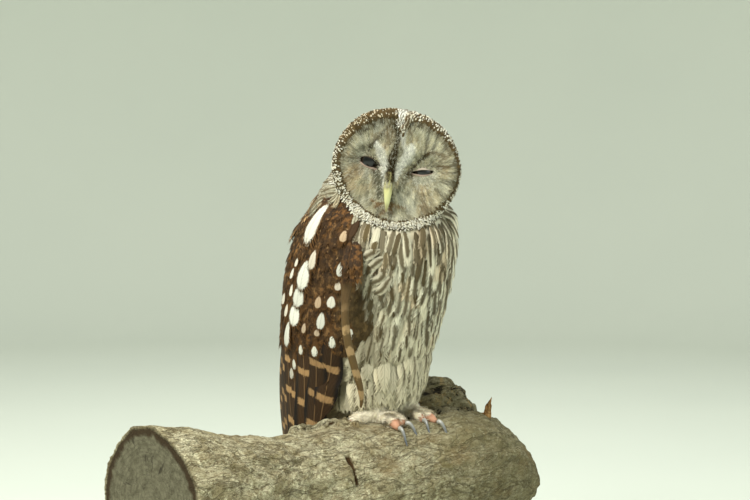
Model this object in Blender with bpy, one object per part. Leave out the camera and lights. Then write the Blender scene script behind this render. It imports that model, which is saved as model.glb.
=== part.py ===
"""A Ural owl, life size, dozing on a cut length of log that a plain display stand holds up.

The bird faces -Y with its head turned to its right. Up is +Z and +X is the bird's left. The origin is the
middle of the stand's underside. Body tables are in centimetres, measured from the point on the log's crest
midway between the feet: x to the bird's left, y towards its tail, z up.
"""

import math

import bmesh
import bpy
from mathutils import Matrix, Vector

CM = 0.01
GAP = 0.0003  # clearance between neighbouring pieces, in metres
SEAM_CM = 0.04  # width of the thin cuts that part one form into named pieces

# Where the bird stands over the stand's middle, and how high the log's crest is, in metres.
PERCH_POINT = Vector((0.075, -0.025, 0.225))

# Head: half sizes, place and turn. Yaw is to the bird's right, roll tips the crown to its left.
HEAD_HALF_WIDTH = 7.05
HEAD_HALF_HEIGHT = 6.35
HEAD_CENTRE = (0.0, 0.0, 28.0)
HEAD_YAW, HEAD_PITCH, HEAD_ROLL = (math.radians(a) for a in (-49, 4, 12))
EYE_X, EYE_Y, EYE_Z, EYE_RADIUS = 2.85, -3.45, 0.2, 1.2
FACE_CUT_Y = -3.0  # where the facial discs part from the rest of the head
MIDLINE_BOW = 0.5  # how far the ridge and the bill's root lie to the bird's right of the middle

FOOT_X = 2.3  # each foot's distance from the body's middle plane
FOOT_Y = 0.8  # how far behind the log's crest the legs come down
TOE_RADIUS = 0.62

LOG_LEFT, LOG_RIGHT = -34.0, 19.0
LOG_RADIUS = 6.5

STAND_SIZE = (0.36, 0.25, 0.016)
STAND_BEVEL = 0.003
ROD_RADIUS = 0.006
ROD_X = (-0.13, 0.12)
ROD_IN_LOG = 0.02

COLOURS = {
    "plumage_pale": ((0.62, 0.58, 0.46), 0.9, 0.0),
    "plumage_grey": ((0.45, 0.42, 0.32), 0.9, 0.0),
    "plumage_brown": ((0.12, 0.07, 0.035), 0.85, 0.0),
    "toe_skin": ((0.66, 0.48, 0.36), 0.7, 0.0),
    "claw": ((0.08, 0.08, 0.09), 0.35, 0.0),
    "bill": ((0.66, 0.63, 0.27), 0.4, 0.0),
    "eye": ((0.02, 0.016, 0.012), 0.05, 0.0),
    "bark": ((0.30, 0.26, 0.17), 0.95, 0.0),
    "stand_wood": ((0.05, 0.035, 0.025), 0.5, 0.0),
    "stand_steel": ((0.5, 0.5, 0.5), 0.35, 1.0),
}


def place(x, y, z):
    """A point of the body tables, in the model's own metres."""
    return PERCH_POINT + Vector((x, y, z)) * CM


def material(name):
    """The Principled material of that name, made once."""
    made = bpy.data.materials.get(name)
    if made is None:
        colour, roughness, metallic = COLOURS[name]
        made = bpy.data.materials.new(name)
        made.use_nodes = True
        shader = made.node_tree.nodes["Principled BSDF"]
        shader.inputs["Base Color"].default_value = (*colour, 1.0)
        shader.inputs["Roughness"].default_value = roughness
        shader.inputs["Metallic"].default_value = metallic
    return made


def make_object(name, mesh, finish, sharp_angle=math.radians(50)):
    """Links a mesh as one named piece, shaded smooth but for its sharp edges."""
    mesh.name = name
    mesh.shade_smooth()
    mesh.set_sharp_from_angle(angle=sharp_angle)
    mesh.materials.clear()
    mesh.materials.append(material(finish))
    made = bpy.data.objects.new(name, mesh)
    bpy.context.scene.collection.objects.link(made)
    return made


def loft(name, rings, finish):
    """One closed solid through rings of as many points each. The first and last rings are filled flat."""
    work = bmesh.new()
    loops = [[work.verts.new(point) for point in ring] for ring in rings]
    for lower, upper in zip(loops, loops[1:]):
        for i in range(len(lower)):
            j = (i + 1) % len(lower)
            work.faces.new((lower[i], lower[j], upper[j], upper[i]))
    for loop in (loops[0], loops[-1]):
        work.faces.new(loop)
    bmesh.ops.triangulate(work, faces=work.faces)
    bmesh.ops.recalc_face_normals(work, faces=work.faces)
    mesh = bpy.data.meshes.new(name)
    work.to_mesh(mesh)
    work.free()
    return make_object(name, mesh, finish)


def smooth_rows(rows, count):
    """Rows of numbers resampled to count rows along a Catmull-Rom curve through them."""
    rows = [Vector(row) for row in rows]
    out = []
    for k in range(count):
        t = k / (count - 1) * (len(rows) - 1)
        i = min(int(t), len(rows) - 2)
        f = t - i
        a, b, c, d = (rows[min(max(j, 0), len(rows) - 1)] for j in range(i - 1, i + 3))
        out.append(
            0.5 * (2 * b + (c - a) * f + (2 * a - 5 * b + 4 * c - d) * f**2 + (3 * b - a - 3 * c + d) * f**3)
        )
    return out


def oval(half_x, half_y, sides, power=2.0):
    """A superellipse's points, as pairs."""
    points = []
    for i in range(sides):
        angle = 2 * math.pi * i / sides
        c, s = math.cos(angle), math.sin(angle)
        x = math.copysign(abs(c) ** (2 / power), c) * half_x
        y = math.copysign(abs(s) ** (2 / power), s) * half_y
        points.append((x, y))
    return points


def tube(name, rows, finish, sides=12, flat=1.0):
    """A round solid along rows of x, y, z and radius; flat squeezes it across the path's own plane."""
    points = [Vector(row[:3]) for row in rows]
    rings = []
    for i, row in enumerate(rows):
        along = (points[min(i + 1, len(rows) - 1)] - points[max(i - 1, 0)]).normalized()
        side = along.cross(Vector((0, 0, 1)))
        side = side.normalized() if side.length > 1e-3 else Vector((1, 0, 0))
        up = side.cross(along)
        rings.append(
            [place(*(points[i] + side * a * row[3] * flat + up * b * row[3])) for a, b in oval(1, 1, sides)]
        )
    return loft(name, rings, finish)


def evaluated_mesh(piece):
    graph = bpy.context.evaluated_depsgraph_get()
    return bpy.data.meshes.new_from_object(piece.evaluated_get(graph))


def boolean(piece, other, operation):
    """Applies one Boolean to piece at once."""
    modifier = piece.modifiers.new("shape", "BOOLEAN")
    modifier.operation = operation
    modifier.object = other
    modifier.solver = "MANIFOLD"
    shaped = evaluated_mesh(piece)
    piece.modifiers.remove(modifier)
    piece.data = shaped


def grown(piece):
    """A throwaway copy of a piece, swollen along its normals by the clearance between pieces."""
    mesh = piece.data.copy()
    normals = [v.normal.copy() for v in mesh.vertices]
    for vertex, normal in zip(mesh.vertices, normals):
        vertex.co += normal * GAP
    made = bpy.data.objects.new("cutter", mesh)
    bpy.context.scene.collection.objects.link(made)
    return made


def keep_largest(piece):
    """Drops the slivers a cut leaves, so that a piece stays one body."""
    work = bmesh.new()
    work.from_mesh(piece.data)
    unseen, bodies = set(work.verts), []
    while unseen:
        body, front = set(), [unseen.pop()]
        while front:
            vertex = front.pop()
            body.add(vertex)
            for edge in vertex.link_edges:
                other = edge.other_vert(vertex)
                if other in unseen:
                    unseen.remove(other)
                    front.append(other)
        bodies.append(body)
    bodies.sort(key=lambda body: sum(f.calc_area() for f in {f for v in body for f in v.link_faces}))
    for body in bodies[:-1]:
        bmesh.ops.delete(work, geom=list(body), context="VERTS")
    work.to_mesh(piece.data)
    work.free()


def carve(pieces, cutters):
    """Cuts every one of cutters out of every one of pieces."""
    for piece in pieces:
        for cutter in cutters:
            boolean(piece, cutter, "DIFFERENCE")
        keep_largest(piece)


def slab(low, high, turn=Matrix.Identity(4)):
    """A throwaway box between two corners, in body centimetres, turned by a matrix in that frame."""
    mesh = bpy.data.meshes.new("slab")
    work = bmesh.new()
    bmesh.ops.create_cube(work, size=1.0)
    for vertex in work.verts:
        corner = Vector(((h if c > 0 else l) for c, l, h in zip(vertex.co, low, high)))
        vertex.co = place(*(turn @ corner))
    bmesh.ops.recalc_face_normals(work, faces=work.faces)
    work.to_mesh(mesh)
    work.free()
    made = bpy.data.objects.new("slab", mesh)
    bpy.context.scene.collection.objects.link(made)
    return made


def part_of(whole, name, low, high, finish, turn=Matrix.Identity(4)):
    """The share of a solid inside a box, as a piece of its own."""
    piece = make_object(name, whole.data.copy(), finish)
    box = slab(low, high, turn)
    boolean(piece, box, "INTERSECT")
    bpy.data.objects.remove(box)
    return piece


def mirrored_rows(rows, side):
    """Rows that start with x, on the bird's left where side is 1 and on its right where it is -1."""
    return [(row[0] * side, *row[1:]) for row in rows]


# ---- head ------------------------------------------------------------------------------------------------


def head_turn():
    return (
        Matrix.Translation(HEAD_CENTRE)
        @ Matrix.Rotation(HEAD_YAW, 4, "Z")
        @ Matrix.Rotation(HEAD_PITCH, 4, "X")
        @ Matrix.Rotation(HEAD_ROLL, 4, "Y")
    )


def midline(z):
    """The face's middle line, which bows towards the bird's right from the brow to the bill's tip."""
    return -MIDLINE_BOW * math.exp(-(((z + 0.4) / 2.5) ** 2))


def face_y(x, z):
    """How far forward the face is: a central ridge, two shallow dishes round the eyes and a raised chin."""
    ridge = 1.15 * math.exp(-(((x - midline(z)) / 1.25) ** 2)) * math.exp(-(((z + 0.6) / 3.6) ** 2))
    dish = 0.55 * math.exp(-(((abs(x) - EYE_X) / 1.9) ** 2) - (((z - EYE_Z) / 2.0) ** 2))
    brow = 0.35 * math.exp(-(((abs(x) - 1.7) / 1.0) ** 2) - (((z - 1.9) / 1.3) ** 2))
    chin = 0.5 * math.exp(-((x / 2.2) ** 2) - (((z + 4.2) / 1.2) ** 2))
    return -4.45 - ridge + dish - brow - chin


def head_form():
    """The whole head, in rings from a small one on the ridge, out over the face and round to the nape."""
    turn, sides = head_turn(), 24
    rings = []
    for share in (0.08, 0.24, 0.4, 0.56, 0.72, 0.87):
        outline = oval(HEAD_HALF_WIDTH * share, HEAD_HALF_HEIGHT * share, sides, 2.15)
        rings.append([place(*(turn @ Vector((x, face_y(x, z), z)))) for x, z in outline])
    rows = [(-4.05, 0.955), (-3.2, 0.995), (-1.9, 1.0), (0.2, 0.985), (2.2, 0.93), (3.9, 0.82)]
    rows += [(5.2, 0.65), (6.0, 0.45), (6.4, 0.2)]
    for y, share in rows:
        outline = oval(HEAD_HALF_WIDTH * share, HEAD_HALF_HEIGHT * share, sides, 2.15)
        rings.append([place(*(turn @ Vector((x, y, z)))) for x, z in outline])
    return loft("head_form", rings, "plumage_grey")


def eye(name, side):
    mesh = bpy.data.meshes.new(name)
    work = bmesh.new()
    bmesh.ops.create_uvsphere(work, u_segments=12, v_segments=8, radius=EYE_RADIUS * CM)
    centre = place(*(head_turn() @ Vector((EYE_X * side, EYE_Y, EYE_Z))))
    turned = Matrix.Translation(centre) @ head_turn().to_3x3().to_4x4()
    bmesh.ops.transform(work, matrix=turned, verts=work.verts)
    work.to_mesh(mesh)
    work.free()
    return make_object(name, mesh, "eye")


# The mandibles: y, z and half depth at right angles to their own path.
BILL_UPPER_ROWS = (
    (-4.4, -0.45, 0.36),
    (-5.35, -1.0, 0.56),
    (-6.0, -1.9, 0.66),
    (-6.2, -3.0, 0.5),
    (-6.0, -3.9, 0.28),
    (-5.65, -4.6, 0.05),
)
BILL_LOWER_ROWS = (
    (-4.5, -1.9, 0.4),
    (-5.15, -2.7, 0.42),
    (-5.35, -3.4, 0.3),
    (-5.4, -3.9, 0.08),
)


def bill_part(name, rows, narrow):
    """A mandible along its rows in the head's frame, on the face's middle line."""
    turn, rings = head_turn(), []
    for i, (y, z, half) in enumerate(rows):
        before, after = rows[max(i - 1, 0)], rows[min(i + 1, len(rows) - 1)]
        along = Vector((0, after[0] - before[0], after[1] - before[1])).normalized()
        across = Vector((0, -along.z, along.y))
        centre = Vector((midline(z), y, z))
        rings.append(
            [
                place(*(turn @ (centre + Vector((a * half * narrow, 0, 0)) + across * b * half)))
                for a, b in oval(1, 1, 10, 2.0)
            ]
        )
    return loft(name, rings, "bill")


def make_head():
    """The head's pieces, and the cutters that clear room for them in what they meet."""
    whole = head_form()
    room = [grown(whole)]
    turn = head_turn()
    far = 12.0
    cut = FACE_CUT_Y
    head = part_of(whole, "head", (-far, cut + SEAM_CM, -far), (far, far, far), "plumage_brown", turn)
    low_right, high_right = (-far, -far, -far), (-SEAM_CM / 2, cut, far)
    low_left, high_left = (SEAM_CM / 2, -far, -far), (far, cut, far)
    disc_right = part_of(whole, "face_disc_R", low_right, high_right, "plumage_grey", turn)
    disc_left = part_of(whole, "face_disc_L", low_left, high_left, "plumage_grey", turn)
    bpy.data.objects.remove(whole)
    eyes = [eye("eye_R", -1), eye("eye_L", 1)]
    upper = bill_part("bill_upper", smooth_rows(BILL_UPPER_ROWS, 8), 0.78)
    lower = bill_part("bill_lower", smooth_rows(BILL_LOWER_ROWS, 6), 0.9)
    sockets = [grown(piece) for piece in (*eyes, upper, lower)]
    carve([lower], sockets[2:3])
    carve([head, disc_right, disc_left], sockets)
    return [head, disc_right, disc_left, *eyes, upper, lower], [*room, *sockets]


# ---- body ------------------------------------------------------------------------------------------------

# The closed body with its wings folded round it: height, middle's y, half width and half depth.
BODY_ROWS = (
    (-12.0, 14.0, 1.7, 1.2),
    (-7.0, 12.9, 3.5, 2.7),
    (-2.5, 11.0, 5.1, 5.7),
    (0.5, 9.5, 5.9, 7.5),
    (4.5, 7.8, 7.1, 8.6),
    (7.6, 6.65, 8.1, 9.5),
    (9.7, 6.1, 8.4, 9.6),
    (14.9, 5.0, 8.9, 10.2),
    (18.8, 3.9, 8.7, 10.1),
    (20.8, 3.3, 8.4, 9.5),
    (22.4, 3.2, 7.9, 8.8),
)
# The body inside its wings, then the neck: height, middle's x and y, half width and half depth.
TRUNK_ROWS = (
    (-2.6, 0.0, 12.6, 1.0, 0.7),
    (0.4, 0.0, 11.2, 2.8, 3.0),
    (2.8, 0.0, 9.4, 5.0, 5.8),
    (5.2, 0.0, 7.5, 7.2, 8.6),
    (7.6, 0.0, 6.5, 8.0, 9.35),
    (9.7, 0.0, 6.1, 8.35, 9.6),
    (12.3, 0.0, 5.5, 8.75, 9.9),
    (14.9, 0.0, 5.0, 8.9, 10.2),
    (18.8, 0.0, 3.9, 8.7, 10.1),
    (21.0, 0.0, 3.3, 8.4, 9.5),
)
NECK_ROWS = (
    (21.0, 0.0, 3.3, 8.4, 9.5),
    (22.4, 0.5, 3.1, 8.5, 8.4),
    (24.0, 0.5, 3.5, 7.6, 7.3),
    (26.0, 0.6, 3.8, 6.4, 6.1),
    (28.6, 0.3, 3.6, 4.0, 4.0),
)
BODY_SIDES = 18


def body_part(name, rows, levels, finish):
    rings = []
    for z, middle_x, middle_y, half_x, half_y in smooth_rows(rows, levels):
        rings.append([place(middle_x + x, middle_y + y, z) for x, y in oval(half_x, half_y, BODY_SIDES)])
    return loft(name, rings, finish)


# Folded wing: height, then the degrees round the body from its side of the front edge on the left wing and
# on the right wing, which hangs further forward, and of the rear edge, then the wing's thickness.
WING_ROWS = (
    (22.4, -7, -16, 45, 0.5),
    (20.4, -19, -31, 65, 1.2),
    (17.6, -28, -40, 72, 1.5),
    (14.7, -33, -51, 77, 1.6),
    (10.9, -34, -53, 80, 1.5),
    (7.8, -30, -40, 81, 1.3),
    (4.1, -25, -31, 82, 1.1),
    (-0.5, -8, -11, 82, 0.9),
    (-4.0, 2, 0, 78, 0.75),
    (-8.0, 15, 14, 66, 0.6),
    (-11.0, 28, 28, 52, 0.35),
)
WING_POINTS = 7
WING_PROUD = 0.15  # how far a folded wing stands out of the body's own outline


def body_section(z):
    """Middle's y, half width and half depth of the closed body at a height."""
    rows = [Vector(row) for row in BODY_ROWS]
    for low, high in zip(rows, rows[1:]):
        if z <= high[0]:
            break
    share = (z - low[0]) / (high[0] - low[0])
    return low.lerp(high, share)[1:]


def wing(name, side):
    """A blade that wraps the flank: each level is an outer arc and an inner one, from front to rear edge."""
    rings = []
    for z, front_left, front_right, rear, thickness in smooth_rows(WING_ROWS, 12):
        front = front_left if side > 0 else front_right
        middle, half_x, half_y = body_section(z)
        outer, inner = [], []
        for i in range(WING_POINTS):
            t = i / (WING_POINTS - 1)
            angle = math.radians(front + (rear - front) * t)
            taper = 0.3 + 0.7 * math.sin(math.pi * t)
            for arc, depth in ((outer, -WING_PROUD), (inner, thickness * taper)):
                x = math.cos(angle) * (half_x - depth)
                y = middle + math.sin(angle) * (half_y - depth)
                arc.append(place(x * side, y, z))
        rings.append(outer + inner[::-1])
    return loft(name, rings, "plumage_brown")


# Tail: height, y, half width and thickness.
TAIL_ROWS = (
    (7.0, 13.4, 2.2, 1.2),
    (3.0, 14.4, 2.6, 1.1),
    (-1.5, 14.9, 3.0, 0.9),
    (-6.0, 15.0, 3.4, 0.7),
    (-10.5, 15.0, 3.8, 0.6),
    (-13.4, 15.0, 3.5, 0.5),
    (-14.6, 15.0, 2.2, 0.35),
)


def tail():
    rings = []
    for z, y, half, thickness in smooth_rows(TAIL_ROWS, 9):
        ring = []
        for x, d in oval(half, thickness / 2, 14, 2.6):
            ring.append(place(x, y + d + 0.35 * (1 - (x / half) ** 2), z))
        rings.append(ring)
    return loft("tail", rings, "plumage_brown")


# The outermost flight feather of the right wing has dropped out of the fold and hangs in front of it:
# x on its own side, y, height and half width.
LOOSE_ROWS = (
    (8.5, -1.3, 18.2, 0.75),
    (9.1, -1.1, 14.0, 0.62),
    (8.7, -0.9, 10.4, 0.55),
    (7.5, -0.8, 7.0, 0.5),
    (6.1, -0.6, 3.8, 0.42),
    (5.9, -0.2, 2.2, 0.16),
)


def loose_primary(side):
    rows = mirrored_rows(smooth_rows(LOOSE_ROWS, 9), side)
    return tube("loose_primary_R", rows, "plumage_brown", sides=8, flat=0.75)


# Thigh and shank, all feathered: x, y, height, half width and half depth.
LEG_ROWS = (
    (3.4, 4.4, 9.4, 3.2, 4.2),
    (3.2, 4.0, 6.6, 3.0, 4.2),
    (2.7, 3.3, 4.2, 2.3, 3.6),
    (2.4, 2.4, 2.5, 1.6, 2.6),
    (2.3, 1.1, 1.1, 1.15, 1.4),
)


def leg(name, side):
    rings = []
    for x, y, z, half_x, half_y in smooth_rows(LEG_ROWS, 7):
        rings.append([place(x * side + a, y + b, z) for a, b in oval(half_x, half_y, 12)])
    return loft(name, rings, "plumage_pale")


# ---- feet ------------------------------------------------------------------------------------------------

# Toe: turn from straight ahead towards the outside in degrees, length and claw length.
TOES = {
    "inner": (-16, 3.4, 2.0),
    "middle": (10, 3.9, 2.0),
    "outer": (112, 3.4, 1.8),
    "hind": (190, 2.2, 1.8),
}


def log_height(y):
    """The log's own surface below its crest line."""
    return math.sqrt(max(LOG_RADIUS**2 - y * y, 0.0)) - LOG_RADIUS


def toe_path(side, degrees, start, end, lift, count):
    """Points from start to end centimetres out of the foot's middle, at a height over the log."""
    angle = math.radians(degrees)
    points = []
    for i in range(count):
        t = i / (count - 1)
        reach = start + (end - start) * t
        x = side * (FOOT_X + math.sin(angle) * reach)
        y = FOOT_Y - math.cos(angle) * reach
        points.append(Vector((x, y, log_height(y) + lift(t))))
    return points


def toe(name, side, degrees, length):
    points = toe_path(side, degrees, 0.75, length, lambda t: 0.62 + 0.18 * math.sin(math.pi * t), 6)
    sizes = (0.55, 0.66, 0.63, 0.63, 0.6, 0.36)
    rows = [(*point, size * TOE_RADIUS / 0.62) for point, size in zip(points, sizes)]
    return tube(name, rows, "toe_skin", sides=8)


def claw(name, side, degrees, toe_length, claw_length):
    """A claw that arches up out of the toe and down on to the bark."""
    reach = claw_length * 0.8

    def arch(t):
        return 0.78 + 0.42 * math.sin(math.pi * min(t * 1.15, 1.0)) - 0.78 * t**1.5

    points = toe_path(side, degrees, toe_length + 0.03, toe_length + reach, arch, 6)
    rows = [(*p, 0.3 * (1 - i / 5.6) ** 0.75 + 0.02) for i, p in enumerate(points)]
    return tube(name, rows, "claw", sides=6, flat=0.8)


def foot(side, letter):
    """Pad, toes and claws of one foot, each a piece, and the cutters that clear room for them."""
    profile = ((1.3, 0.62, 0.3), (0.9, 0.66, 0.72), (0.0, 0.7, 0.95), (-0.9, 0.62, 0.7), (-1.25, 0.58, 0.35))
    pad_rows = [(FOOT_X * side, FOOT_Y + y, z, half) for y, z, half in profile]
    pad = tube(f"foot_{letter}", pad_rows, "plumage_pale", sides=10, flat=1.15)
    toes, claws = [], []
    for kind, (degrees, length, claw_length) in TOES.items():
        toes.append(toe(f"toe_{kind}_{letter}", side, degrees, length))
        claws.append(claw(f"claw_{kind}_{letter}", side, degrees, length, claw_length))
    room_for_claws = [grown(piece) for piece in (pad, *claws)]
    room_for_toes = [grown(piece) for piece in toes]
    for i, made in enumerate(toes):
        carve([made], [*room_for_claws, *room_for_toes[:i]])
    return [pad, *toes, *claws], [*room_for_claws, *room_for_toes]


# ---- perch and stand -------------------------------------------------------------------------------------


def log_section_radius(x):
    """A flared sawn end, a waist, a swelling under the broken branch, and a taper to the far end."""
    flare = 0.7 / (1 + math.exp((x + 28) / 1.5))
    waist = 0.9 * math.exp(-(((x + 17) / 7) ** 2))
    swelling = 0.5 * math.exp(-(((x - 7) / 4) ** 2))
    taper = 0.026 * max(0.0, x - 9) ** 2
    return LOG_RADIUS + flare - waist + swelling - taper


def log_axis_height(x):
    """The log's middle line: it climbs a little to its sawn end and dips past the broken branch."""
    climb = 0.085 * max(0.0, -x - 4)
    bend = 0.02 * max(0.0, x - 9) ** 2
    return climb - bend - LOG_RADIUS


def log():
    rings, steps, sides = [], 14, 16
    for i in range(steps):
        x = LOG_LEFT + (LOG_RIGHT - LOG_LEFT) * i / (steps - 1)
        radius = log_section_radius(x)
        ring = []
        for k in range(sides):
            angle = 2 * math.pi * k / sides
            away = min(1.0, abs(x) / 6.0)
            lumps = 0.18 * math.sin(3 * angle + 0.25 * x) + 0.12 * math.sin(5 * angle - 0.4 * x)
            reach = radius + lumps * away
            ring.append(place(x, math.cos(angle) * reach, math.sin(angle) * reach + log_axis_height(x)))
        rings.append(ring)
    return loft("perch_log", rings, "bark")


# The base of a broken branch that rises behind the left foot: x, y, height, half length and half depth.
STUB_ROWS = (
    (9.4, 2.6, -4.4, 6.0, 3.4),
    (9.4, 2.8, -2.0, 5.7, 3.2),
    (9.4, 3.0, 0.1, 5.2, 2.8),
    (9.4, 3.1, 1.6, 4.3, 2.2),
    (9.4, 3.2, 2.6, 2.4, 1.6),
    (9.6, 3.2, 3.3, 1.0, 1.0),
)


def stub():
    rings = []
    for i, (x, y, z, half_x, half_y) in enumerate(STUB_ROWS):
        ring = []
        for k, (a, b) in enumerate(oval(half_x, half_y, 12)):
            ragged = 1 + 0.09 * math.sin(5 * k + 2 * i) * (i > 0)
            ring.append(place(x + a * ragged, y + b * ragged, z + 0.3 * math.sin(2.2 * k) * (i == 4)))
        rings.append(ring)
    return loft("perch_stub", rings, "bark")


def stand():
    mesh = bpy.data.meshes.new("stand_base")
    work = bmesh.new()
    bmesh.ops.create_cube(work, size=1.0)
    for vertex in work.verts:
        x, y, z = vertex.co
        vertex.co = (x * STAND_SIZE[0], y * STAND_SIZE[1], (z + 0.5) * STAND_SIZE[2])
    top_edges = [e for e in work.edges if all(v.co.z > STAND_SIZE[2] / 2 for v in e.verts)]
    corner_edges = [e for e in work.edges if abs(e.verts[0].co.z - e.verts[1].co.z) > STAND_SIZE[2] / 2]
    bmesh.ops.bevel(work, geom=top_edges + corner_edges, offset=STAND_BEVEL, segments=3, affect="EDGES")
    work.to_mesh(mesh)
    work.free()
    base = make_object("stand_base", mesh, "stand_wood", math.radians(30))
    rods = []
    for number, x in enumerate(ROD_X, 1):
        body_x = (x - PERCH_POINT.x) / CM
        underside = log_axis_height(body_x) - log_section_radius(body_x)
        top = PERCH_POINT.z + underside * CM + ROD_IN_LOG
        rings = []
        for z in (STAND_SIZE[2] + GAP, top):
            rings.append([(x + a, PERCH_POINT.y + b, z) for a, b in oval(ROD_RADIUS, ROD_RADIUS, 16)])
        rods.append(loft(f"stand_rod_{number}", rings, "stand_steel"))
    return base, rods


def main():
    for old in list(bpy.data.objects):
        bpy.data.objects.remove(old)

    _, head_room = make_head()
    wings = [wing("wing_L", 1), wing("wing_R", -1)]
    tail_piece = tail()
    loose = loose_primary(-1)
    trunk = body_part("trunk", TRUNK_ROWS, 11, "plumage_pale")
    neck_rows = [(z + SEAM_CM * (i == 0), *rest) for i, (z, *rest) in enumerate(NECK_ROWS)]
    neck = body_part("neck", neck_rows, 5, "plumage_brown")
    legs = [leg("leg_L", 1), leg("leg_R", -1)]
    foot_room = [*foot(1, "L")[1], *foot(-1, "R")[1]]
    wing_room = [grown(piece) for piece in wings]
    loose_room = [grown(loose)]
    rear_room = [grown(piece) for piece in (tail_piece, *legs)]

    carve(wings, [*loose_room, *head_room])
    carve([tail_piece], wing_room)
    carve([neck], [*head_room, *wing_room])
    carve([trunk], [*head_room, *wing_room, *loose_room, *rear_room])
    carve(legs, [*foot_room, *wing_room])

    perch, branch = log(), stub()
    branch_room = [grown(branch)]
    _, rods = stand()
    rod_room = [grown(rod) for rod in rods]
    carve([branch], foot_room)
    carve([perch], [*branch_room, *foot_room, *rod_room])

    for cutter in [*head_room, *foot_room, *wing_room, *loose_room, *rear_room, *branch_room, *rod_room]:
        bpy.data.objects.remove(cutter)


main()
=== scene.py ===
"""The looks of a life-size Ural owl that dozes on a cut log held by a plain display stand.

One skin stands for all the CAD nodes of flesh. Over it lie feathers of solid mesh, laid along the skin.
Eyes, bill, claws, log and stand are pieces of their own. Lengths are in metres where nothing else is said.
Tables of the head are in centimetres of the head's own frame: x to the bird's left, y to the back of the
head and z to the crown. Tables of the body are in centimetres from the log's crest between the feet.
"""

import itertools
import math
from collections import namedtuple

import bmesh
import bpy
import numpy as np
from mathutils import Matrix, Vector, noise
from mathutils.bvhtree import BVHTree


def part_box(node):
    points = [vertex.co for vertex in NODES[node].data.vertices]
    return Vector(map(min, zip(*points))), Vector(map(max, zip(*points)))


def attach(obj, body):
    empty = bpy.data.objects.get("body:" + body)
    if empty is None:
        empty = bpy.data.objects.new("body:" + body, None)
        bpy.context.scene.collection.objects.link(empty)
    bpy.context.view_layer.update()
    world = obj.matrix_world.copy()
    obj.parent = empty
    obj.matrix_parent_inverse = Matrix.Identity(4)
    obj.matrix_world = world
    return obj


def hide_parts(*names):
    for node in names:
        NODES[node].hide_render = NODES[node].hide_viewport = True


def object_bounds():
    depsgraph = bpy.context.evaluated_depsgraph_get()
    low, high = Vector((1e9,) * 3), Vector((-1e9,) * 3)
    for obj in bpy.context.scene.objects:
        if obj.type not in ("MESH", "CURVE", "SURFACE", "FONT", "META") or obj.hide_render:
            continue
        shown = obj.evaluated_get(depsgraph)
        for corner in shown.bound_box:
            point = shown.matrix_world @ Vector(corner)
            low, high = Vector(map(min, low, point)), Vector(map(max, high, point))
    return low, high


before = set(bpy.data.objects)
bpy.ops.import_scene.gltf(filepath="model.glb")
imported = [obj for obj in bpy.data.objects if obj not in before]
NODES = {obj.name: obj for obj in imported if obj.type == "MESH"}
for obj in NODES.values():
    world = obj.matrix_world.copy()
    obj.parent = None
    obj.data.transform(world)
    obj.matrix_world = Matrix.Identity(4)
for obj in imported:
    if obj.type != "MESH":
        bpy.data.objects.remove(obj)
CAD_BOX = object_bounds()

CM = 0.01
MM = 0.001
RNG = np.random.default_rng(7)

# Coats and log stay this far inside the CAD's box.
BOX_INSET = 0.0003
BOX_LOW, BOX_HIGH = (np.array(corner) + inset for corner, inset in zip(CAD_BOX, (BOX_INSET, -BOX_INSET)))

# The pose, as in the CAD: the log's crest between the feet, and the head's turn, eyes and place.
PERCH = np.array((0.075, -0.025, 0.225))
HEAD_YAW, HEAD_PITCH, HEAD_ROLL = (
    Matrix.Rotation(math.radians(angle), 3, axis) for angle, axis in ((-49, "Z"), (4, "X"), (12, "Y"))
)
HEAD_TURN = np.array(HEAD_YAW @ HEAD_PITCH @ HEAD_ROLL)
HEAD_CENTRE = PERCH + np.array((0.0, 0.0, 28.0)) * CM
EYE_X, EYE_Y, EYE_Z, EYE_RADIUS = 2.85, -3.25, 0.2, 1.2
FOOT_X, FOOT_Y = 2.3, 0.8  # the middle of each foot

TOES = [f"toe_{kind}_{side}" for side in "LR" for kind in ("inner", "middle", "outer", "hind")]
FLESH = ["head", "face_disc_L", "face_disc_R", "neck", "trunk", "wing_L", "wing_R", "tail"]
FLESH += ["leg_L", "leg_R", "foot_L", "foot_R", *TOES]

SKIN_VOXEL, LOG_VOXEL = 0.0024, 0.0022
SAME_POINT = 1e-6
PATCH = 0.003  # a feather's size on the OFBake map


# ---- numbers ---------------------------------------------------------------------------------------------


def rgb(red, green, blue):
    """A display colour as the linear colour shaders want."""
    shares = (colour / 255 for colour in (red, green, blue))
    return tuple(c / 12.92 if c <= 0.04 else ((c + 0.055) / 1.055) ** 2.4 for c in shares)


def smooth(low, high, value):
    """0 below low, 1 above high, and an even curve between."""
    t = np.clip((np.asarray(value, float) - low) / (high - low), 0, 1)
    return t * t * (3 - 2 * t)


def mix(a, b, share):
    """Blends numbers, or colours and directions of three parts. Each row may have a share of its own."""
    a, b, share = (np.asarray(value, float) for value in (a, b, share))
    if share.ndim and 3 in (a.shape[-1:] + b.shape[-1:]):
        share = share[..., None]
    return a + (b - a) * share


def columns(*values):
    """Numbers, or rows of numbers, side by side."""
    return np.stack(np.broadcast_arrays(*values), axis=1)


def unit(vectors):
    length = np.linalg.norm(vectors, axis=-1, keepdims=True)
    return vectors / np.maximum(length, 1e-9)


def lumps(points, size, seed=0.0):
    """Smooth noise about -1 to 1 at each point, with lumps of that size."""
    shift = Vector((seed * 13.1, seed * 7.7, seed * 3.3))
    return np.array([noise.noise(Vector(p) / size + shift) for p in points])


def to_body(points):
    """World points in centimetres from the crest."""
    return (points - PERCH) / CM


def to_head(points):
    """World points in the head's own centimetres."""
    return (np.asarray(points) - HEAD_CENTRE) @ HEAD_TURN / CM


def from_head(points):
    return np.asarray(points, float) * CM @ HEAD_TURN.T + HEAD_CENTRE


def head_direction(vectors):
    return np.asarray(vectors, float) @ HEAD_TURN.T


# ---- meshes ----------------------------------------------------------------------------------------------


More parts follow.
